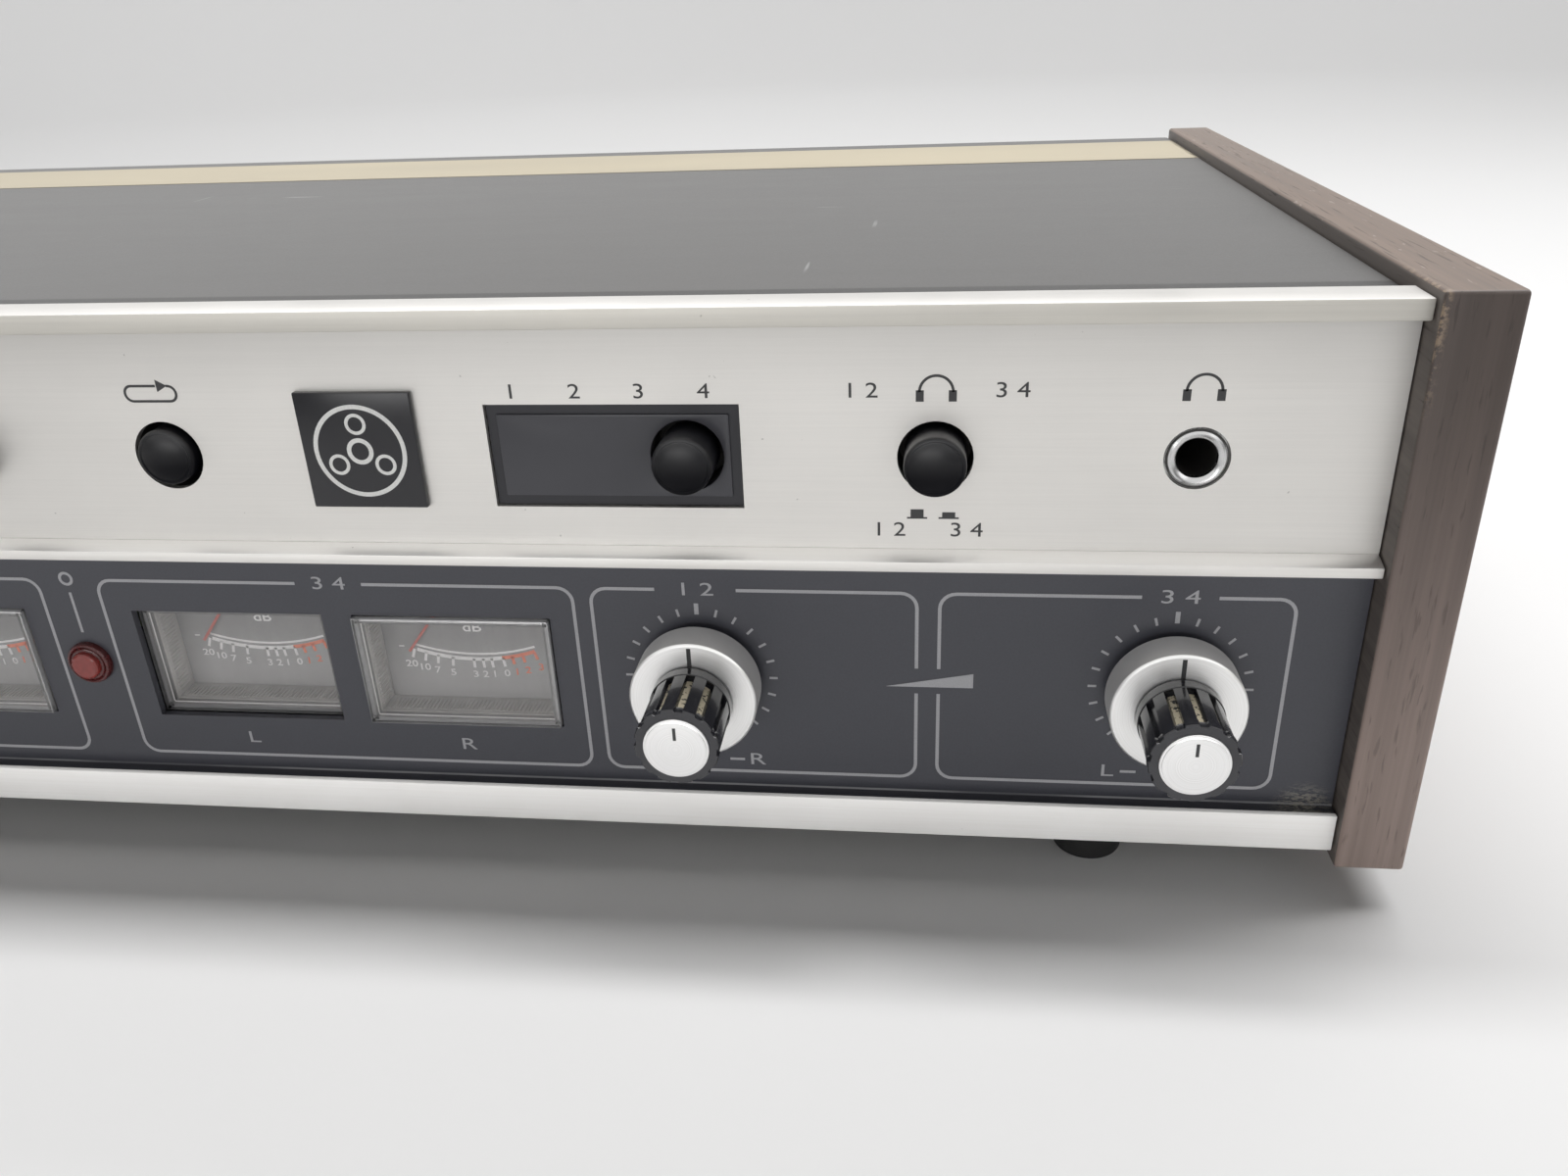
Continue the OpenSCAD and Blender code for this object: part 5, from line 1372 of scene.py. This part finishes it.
@dataclass
class VolumeControl:
    """A dual control: a turned outer ring and a fluted inner knob with a metal end."""

    name: str
    flutes: int = 12
    fine: int = 14
    groove: float = 0.75
    slot: int = 5
    phase: int = 5
    chamfer: float = 0.35
    back_edge: float = 0.4
    bore: float = 3.06
    mark: float = 0.75
    ring_edge: float = 0.08
    rim: float = 7.3
    grip: float = 7.12
    skirt: float = 7.25
    floor: float = 0.5
    dirty: Pair = (3.3, -2.6)
    dirt_z: float = 4.4
    ring_steps: int = 96
    disc_steps: int = 72
    disc: tuple[Pair, ...] = (
        *((0.0, -0.02), (5.0, 0.0), (5.2, -0.05), (5.27, -0.3)),
        *((5.55, -0.34), (5.62, -0.42), (5.62, -1.2), (0.0, -1.2)),
    )

    def axis(self) -> Pair:
        """Returns the X and Z of the control's axis."""
        return halfway(*span(f"volume_ring_{self.name}"))

    def ring(self) -> None:
        """Turns the outer ring with its pointer line."""
        node = f"volume_ring_{self.name}"
        low, high = span(node)
        r, back = (high.x - low.x) / 2, low.y - high.y
        profile = [(self.bore, back), (r - self.back_edge, back), (r, back + self.back_edge)]
        profile += [(r, -self.chamfer), (r - self.chamfer, 0.0), (self.bore, 0.0), (self.bore, back)]
        centre = self.axis()
        forge = Forge(low.y, lambda normal: 0 if normal.y < -0.35 else 2)
        forge.lathe(centre, profile, self.ring_steps, self.ring_edge)
        forge.paint = 1
        forge.stroke(centre, 0.0, 7.0, r - self.mark, self.mark)
        metal = SpunMetal(f"ring_{self.name}_turned", (0.98, 0.97, 0.95), 0.42, centre)
        wall = SpunMetal(f"ring_{self.name}_wall", (0.86, 0.85, 0.835), 0.54, centre)
        name, body = f"turned_ring_{self.name}", f"ring_{self.name}"
        forge.piece(name, [metal, INK_DARK, wall], "ring_aluminium", node, body)

    def rings(self, back: float) -> list[Triple]:
        """Lists the rings of points that the knob is made from.

        Args:
            back: The height of its rear, measured towards the front from its end.

        Returns:
            Each ring's radius, its height and the share of the flutes' depth that is cut into it.
        """
        skirt, grip, rim = self.skirt, self.grip, self.rim
        behind = [(1.7, 0.0, 0.0), (skirt - 0.3, 0.0, 0.0), (skirt, 0.3, 0.0), (skirt, 2.3, 0.0)]
        behind += [(grip, 2.5, 0.0), (grip, 2.52, 1.0), (grip, self.dirty[0], 1.0)]
        ahead = [(grip, -2.62, 1.0), (grip, -2.6, 0.45), (rim, -2.4, 0.6), (rim, -0.95, 0.6)]
        ahead += [(rim - 0.12, -0.78, 0.6), (rim - 0.45, -0.7, 0.0), (5.75, -0.62, 0.0)]
        ahead += [(5.65, -0.7, 0.0), (5.65, -4.0, 0.0)]
        return [(radius, back + height, cut) for radius, height, cut in behind] + ahead

    def fluted(self, end_y: float, back: float) -> Shape:
        """Makes the knob's body.

        Args:
            end_y: The Y of its end.
            back: The height of its rear, measured towards the front from its end.

        Returns:
            The body.
        """
        part = bmesh.new()
        count = self.flutes * self.fine
        loop = set(bmesh.ops.create_circle(part, radius=1.0, segments=count)["verts"])
        for index, (radius, height, cut) in enumerate(self.rings(back)):
            if index:
                edges = [e for e in part.edges if all(v in loop for v in e.verts)]
                grown = bmesh.ops.extrude_edge_only(part, edges=edges)["geom"]
                loop = {v for v in grown if isinstance(v, bmesh.types.BMVert)}
            for vert in loop:
                turn = math.atan2(vert.co.z if index else vert.co.y, vert.co.x)
                step = (round(turn / math.tau * count) + self.phase) % self.fine
                reach = radius - (self.groove * cut if step < self.slot else 0.0)
                vert.co = (reach * math.cos(turn), end_y - height, reach * math.sin(turn))
        x, z = self.axis()
        bmesh.ops.translate(part, verts=part.verts[:], vec=(x, 0.0, z))
        return part

    def knob(self) -> None:
        """Builds the fluted knob with dirt in its flutes and a metal end disc."""
        node, body = f"volume_knob_{self.name}", f"knob_{self.name}"
        low, high = span(node)
        back = low.y - high.y
        x, z = centre = self.axis()
        forge = Forge(low.y)
        forge.join(self.fluted(low.y, back))
        for face in forge.bm.faces:
            at = face.calc_center_median()
            height, away = low.y - at.y, math.hypot(at.x - x, at.z - z)
            flute = back + self.dirty[0] < height < self.dirty[1] and away < self.grip - self.floor
            if flute and at.z > z + self.dirt_z:
                face.material_index = 1
            elif height > -0.75 and face.normal.y < -0.6:
                face.material_index = 4
        forge.paint = 2
        forge.lathe(centre, self.disc, self.disc_steps)
        forge.paint, forge.face_y = 3, low.y + PRINT_T
        forge.stroke(centre, 0.0, 1.8, 4.2, 0.55)
        metal = SpunMetal(f"{body}_end_disc", (0.95, 0.94, 0.93), 0.44, centre)
        finishes = [KNOB_BLACK, FLUTE_DIRT, metal, INK_DARK, KNOB_FACE]
        forge.piece(f"fluted_{body}", finishes, "knob_black", node, body)

    def build(self) -> None:
        """Builds ring and knob."""
        self.ring()
        self.knob()


@dataclass
class LevelMeters:
    """The four level meters: clear covers, frosted walls and the printed scales."""

    half: Pair = (19.2, 11.6)
    fit: float = 0.2
    wall: float = 1.2
    proud: float = 1.1
    cover_rear: float = 1.5
    fold: float = 0.22
    band_gap: float = 0.05
    glint: float = 0.26
    liner: float = 1.6
    liner_t: float = 0.6
    depth: float = 7.5
    rib: float = 0.8
    rib_t: float = 0.2
    weight: float = 0.012
    places: tuple[Pair, ...] = ((-83.1, 0.0), (-38.8, 0.0), (22.0, 2.6), (66.3, 0.0))
    middle_z: float = 40.8
    off: float = 0.7
    arc_z: Pair = (80.35, 76.9)
    line_r: Pair = (39.6, 40.05)
    band_r: Pair = (37.15, 37.9)
    tick_r: float = 40.9
    figure_r: float = 44.4
    figure: float = 1.4
    figures: str = "20 10 7 5 3 2 1 0"
    turns: tuple[float, ...] = (-17.6, -14.2, -10.8, -6.7, -0.8, 1.8, 4.2, 7.5)
    red_figures: str = "1 2 3"
    red_turns: tuple[float, ...] = (10.2, 13.2, 16.8)

    def cover(self, forge: Forge, x: float, sink: float) -> None:
        """Adds one clear cover, a shell with rounded front edges, a grey band over its walls as painted
        reflection and a pale line at its inner edge as painted highlight.

        Args:
            forge: The mesh that it joins.
            x: The meter's middle.
            sink: How far the meter sits back.
        """
        front, rear = FACE_Y - self.proud + sink, FACE_Y + self.cover_rear + sink

        def corners(inset: float) -> Pairs:
            """Returns the lowest and highest X and Z at that inset from the window."""
            w, h = (size - self.fit - inset for size in self.half)
            return (x - w, self.middle_z - h), (x + w, self.middle_z + h)

        (x0, z0), (x1, z1) = corners(0.0)
        box = crate((x0, front, z0), (x1, rear, z1))
        forge.paint = lambda normal: int(abs(normal.y) < 0.95)
        forge.join(shell(box, lambda normal: normal.y > 0.5, self.fold, 2, self.wall))
        # Painted reflection: a grey band where the cover's thick walls show through its front.
        forge.paint, forge.face_y = 2, front + self.wall - 0.1
        forge.outline(*corners(self.band_gap), 0.3, self.wall - self.band_gap)
        # Painted highlight: a pale line along the cover's inner front edge.
        forge.paint, forge.face_y = 3, front + self.wall + 0.1
        forge.outline(*corners(self.wall), 0.4, self.glint)

    def walls(self, forge: Forge, x: float, sink: float) -> None:
        """Adds the frosted, finely ribbed walls between a cover and its dial.

        Args:
            forge: The mesh that they join.
            x: The meter's middle.
            sink: How far the meter sits back.
        """
        near, far = FACE_Y + self.liner + sink, FACE_Y + self.depth - 0.05 + sink
        half, t = self.half[0] - self.liner, self.liner_t
        left, right = x - half, x + half
        low_z, high_z = self.middle_z - self.half[1] + self.liner, self.middle_z + self.half[1]
        for start, end in ((left - t, left), (right, right + t)):
            forge.block((start, near, low_z - t), (end, far, high_z), 0.1)
        forge.block((left, near, low_z - t), (right, far, low_z), 0.1)
        front, back = near + 0.8, far - 1.4
        for step in range(1, int(2 * half / self.rib)):
            at = left + step * self.rib
            forge.block((at, front, low_z), (at + self.rib / 2, back, low_z + self.rib_t))
        for step in range(1, int((high_z - low_z) / self.rib)):
            at = low_z + step * self.rib
            forge.block((left, front, at), (left + self.rib_t, back, at + self.rib / 2))

    def scale(self, forge: Forge, x: float, sink: float) -> None:
        """Prints one meter's scale on its dial.

        Args:
            forge: The print.
            x: The meter's middle.
            sink: How far the meter sits back.
        """
        forge.face_y = FACE_Y + self.depth + sink
        down = 180.0
        upper, lower = ((x + self.off, z) for z in self.arc_z)
        plain = (self.figures, self.turns, 42.9, 0.55, (-8.0, 18.4), ("-", (x - 14.2, 42.2), 1.4))
        red = (self.red_figures, self.red_turns, 42.6, 0.6, (-18.6, -8.0), ("+", (x + 16.4, 41.6), 1.0))
        for paint, (figures, turns, end, width, band, sign) in enumerate((plain, red)):
            forge.paint = paint
            forge.arc(lower, *self.band_r, *(down + turn for turn in band))
            for text, turn in zip(figures.split(), turns):
                spot = polar(upper, self.figure_r, down - turn)
                forge.words(text, spot, self.figure, weight=self.weight)
                forge.stroke(upper, down - turn, self.tick_r, end, width)
            text, spot, stretch = sign
            forge.words(text, spot, 2.2, stretch)
        forge.paint = 0
        forge.arc(upper, *self.line_r, down - 17.6, down + 17.6)
        forge.words("dB", (x + self.off, 46.3), 1.9, 1.3, self.weight)

    def build(self) -> None:
        """Builds the covers, walls and scales of all meters."""
        covers, walls, scales = Forge(), Forge(), Forge()
        for x, sink in self.places:
            self.cover(covers, x, sink)
            self.walls(walls, x, sink)
            self.scale(scales, x, sink)
        finishes = [CLEAR_COVER, CLEAR_EDGE, WALL_REFLECTION_BAND, EDGE_GLINT]
        covers.piece("clear_meter_covers", finishes, "clear_plastic", "meter_covers")
        walls.piece("frosted_meter_walls", [LINER_GREY], "clear_plastic")
        scales.piece("meter_scale_print", [INK_DIAL, INK_RED], "dial_print")


@dataclass
class CartridgeBay:
    """The frame round the cartridge slot and the ribs on the door."""

    rim: float = 1.6
    proud: float = 0.9
    edge: float = 0.25
    slot_x: Pair = (-216.5, -112.5)
    slot_z: Pair = (73.8, 99.2)
    ribs: int = 5
    rib_half: float = 42.0
    rib_y: Pair = (-1.15, -0.7)
    rib_z: Triple = (3.0, 1.6, 0.8)
    rib_edge: float = 0.15

    def build(self) -> None:
        """Builds the slot's frame and a ribbed grip on the door."""
        (x0, x1), (z0, z1), rim = self.slot_x, self.slot_z, self.rim
        left, right, under, over = x0 - rim, x1 + rim, z0 - rim, z1 + rim
        across = ((left, under, right, z0), (left, z1, right, over))
        upright = ((left, z0, x0, z1), (x1, z0, right, z1))
        forge = Forge()
        for start_x, start_z, end_x, end_z in across + upright:
            forge.block((start_x, FACE_Y - self.proud, start_z), (end_x, FACE_Y, end_z), self.edge)
        forge.piece("slot_frame", [CASE_BLACK], "door_plastic")
        low, high = span("cartridge_door")
        x, y = (low.x + high.x) / 2, (low.y + high.y) / 2
        front, back = (y + step for step in self.rib_y)
        first, pitch, tall = self.rib_z
        forge = Forge()
        for row in range(self.ribs):
            z = low.z + first + row * pitch
            far = (x + self.rib_half, back, z + tall)
            forge.block((x - self.rib_half, front, z), far, self.rib_edge)
        forge.piece("door_ribs", [DOOR_PLASTIC], "door_plastic", body="door")


@dataclass
class RearFittings:
    """What is seen from behind: the sockets' coloured insulators and the figures beside them."""

    step: float = 20.0
    first: float = 6.5
    columns: int = 4
    ring: tuple[Pair, ...] = ((1.75, 0.2), (1.75, -0.25), (3.9, -0.25), (3.9, 0.2), (1.75, 0.2))
    figure: float = 3.0
    figure_up: float = 10.5
    steps: int = 32

    def build(self) -> None:
        """Builds the insulators and prints plain figures over the sockets."""
        low, high = span("line_sockets")
        z = low.z + self.first
        columns = [low.x + self.first + i * self.step for i in range(self.columns)]
        forge = Forge(high.y)
        for x in columns:
            for row in range(2):
                forge.paint = row
                forge.lathe((x, z + row * self.step), self.ring, self.steps)
        forge.piece("socket_insulators", [SOCKET_RED, SOCKET_WHITE], "jack_metal")
        forge = Forge(0.0)
        for i, x in enumerate(columns):
            spot = (-x, z + self.step + self.figure_up)
            forge.words(str(self.columns - i), spot, self.figure, 1.2)
        rear = Matrix.Translation((0.0, span("rear_panel")[1].y, 0.0))
        turn = rear @ Matrix.Rotation(math.pi, 4, "Z")
        bmesh.ops.transform(forge.bm, matrix=turn, verts=forge.bm.verts[:])
        forge.piece("rear_panel_print", [INK_PALE], "rear_paint")


@dataclass(frozen=True)
class Lamp:
    """A soft light: place, aim and size in metres, its power in watts and its fan in degrees."""

    name: str
    place: Triple
    aim: Triple
    size: Pair
    power: float
    spread: float = 180.0

    def hang(self) -> None:
        """Hangs the light, out of the camera's sight."""
        data = bpy.data.lights.new(self.name, "AREA")
        data.shape = "RECTANGLE"
        data.size, data.size_y = self.size
        data.energy = self.power
        data.spread = math.radians(self.spread)
        made = bpy.data.objects.new(self.name, data)
        back = (Vector(self.place) - Vector(self.aim)).normalized()
        high = back.cross(Vector((1.0, 0.0, 0.0))).normalized()
        turn = Matrix((high.cross(back), high, back)).transposed().to_4x4()
        made.matrix_world = Matrix.Translation(self.place) @ turn
        made.visible_camera = False
        bpy.context.scene.collection.objects.link(made)


@dataclass
class Studio:
    """The camera of the photograph, a pale floor and soft light."""

    eye: Triple = (155.1, -298.25, 152.7)
    yaw: float = 7.69
    pitch: float = 25.61
    roll: float = -2.43
    focal: float = 1247.1
    image_width: float = 1600.0
    sensor: float = 36.0
    floor_tone: Triple = (0.84, 0.837, 0.835)
    sky_tone: Triple = (1.0, 0.995, 0.985)
    ambient: float = 0.06
    seen: float = 1.0
    reach: float = 2.3
    bend: float = 1.1
    bend_steps: int = 24
    round_steps: int = 96
    lamps: tuple[Lamp, ...] = (
        Lamp("key_light", (0.3, 0.17, 1.32), (0.05, -0.08, 0.0), (2.1, 0.22), 20.0),
        Lamp("side_light", (1.0, -0.65, 0.55), (0.2, -0.12, 0.0), (0.6, 0.6), 0.9),
        Lamp("back_light", (-0.1, 1.7, 2.2), (-0.05, 2.3, 0.0), (4.2, 1.0), 44.5),
        Lamp("front_light", (-0.4, -2.3, 0.42), (0.0, 0.0, 0.05), (2.2, 0.4), 3.25, 90.0),
    )

    def camera(self) -> None:
        """Places the camera from its solved angles."""
        yaw, pitch, roll = (math.radians(a) for a in (self.yaw, self.pitch, self.roll))
        right = Vector((math.cos(yaw), math.sin(yaw), 0.0))
        level = Vector((-math.sin(yaw), math.cos(yaw), 0.0))
        ahead = level * math.cos(pitch) - Vector(ALONG_Z) * math.sin(pitch)
        above = right.cross(ahead)
        side = math.cos(roll) * right + math.sin(roll) * above
        head = math.cos(roll) * above - math.sin(roll) * right
        data = bpy.data.cameras.new("photo_camera")
        data.sensor_fit = "HORIZONTAL"
        data.sensor_width = self.sensor
        data.lens = self.focal / self.image_width * self.sensor
        data.clip_start = 0.01
        camera = bpy.data.objects.new("photo_camera", data)
        turn = Matrix((side, head, -ahead)).transposed().to_4x4()
        camera.matrix_world = Matrix.Translation(Vector(self.eye) * MM) @ turn
        bpy.context.scene.collection.objects.link(camera)
        bpy.context.scene.camera = camera

    def floor(self) -> None:
        """Turns a wide pale floor that curves up into a backdrop all round, far from the object."""
        run = [(0.0, 0.0, 0.0)]
        for step in range(self.bend_steps + 1):
            way = math.pi / 2 * step / self.bend_steps
            up = self.bend * (1 - math.cos(way))
            run.append((self.reach + self.bend * math.sin(way), 0.0, up))
        part = spun(run, ORIGIN, ALONG_Z, self.round_steps)
        bmesh.ops.remove_doubles(part, verts=part.verts[:], dist=MERGE / 10)
        bmesh.ops.recalc_face_normals(part, faces=part.faces[:])
        mesh = bpy.data.meshes.new("studio_floor")
        part.to_mesh(mesh)
        part.free()
        mesh.shade_smooth()
        mesh.materials.append(StageCard("studio_floor_pale", self.floor_tone, 0.8).material())
        made = bpy.data.objects.new("studio_floor", mesh)
        bpy.context.scene.collection.objects.link(made)

    def sky(self) -> None:
        """Fills the world with a pale tone that lights softly and shows in metal and glass."""
        world = bpy.data.worlds.new("studio_world")
        bpy.context.scene.world = world
        graph = Graph(world, "Background")
        seen = graph.node("LightPath", out="Is Camera Ray")
        for name in ("Is Glossy Ray", "Is Transmission Ray"):
            seen = seen | graph.node("LightPath", out=name)
        sockets = {"Value": seen, "To Min": self.ambient, "To Max": self.seen}
        graph.set({"Color": rgba(self.sky_tone), "Strength": graph.node("MapRange", sockets)})

    def build(self) -> None:
        """Builds camera, floor, lamps and world."""
        bpy.context.scene.view_settings.view_transform = "Standard"
        self.camera()
        self.floor()
        for lamp in self.lamps:
            lamp.hang()
        self.sky()


def dress_nodes() -> None:
    """Gives each CAD node that stays in view its finish."""
    for finish, names in FINISH_NODES.items():
        for name in names:
            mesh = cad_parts[name].data
            mesh.materials.clear()
            mesh.materials.append(finish.material())
            LOG.info("dressed %s", name)


def main() -> None:
    """Builds the studio and all sub-assemblies."""
    logging.basicConfig(level=logging.INFO, format="%(message)s")
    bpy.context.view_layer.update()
    Studio().build()
    dress_nodes()
    for assembly in (
        Cabinet(),
        FrontStack(),
        PrintedMarks(),
        PushButtons(),
        JacksAndLamps(),
        VolumeControl("front"),
        VolumeControl("rear"),
        LevelMeters(),
        CartridgeBay(),
        RearFittings(),
    ):
        assembly.build()
    bpy.context.view_layer.update()


if __name__ == "__main__":
    main()
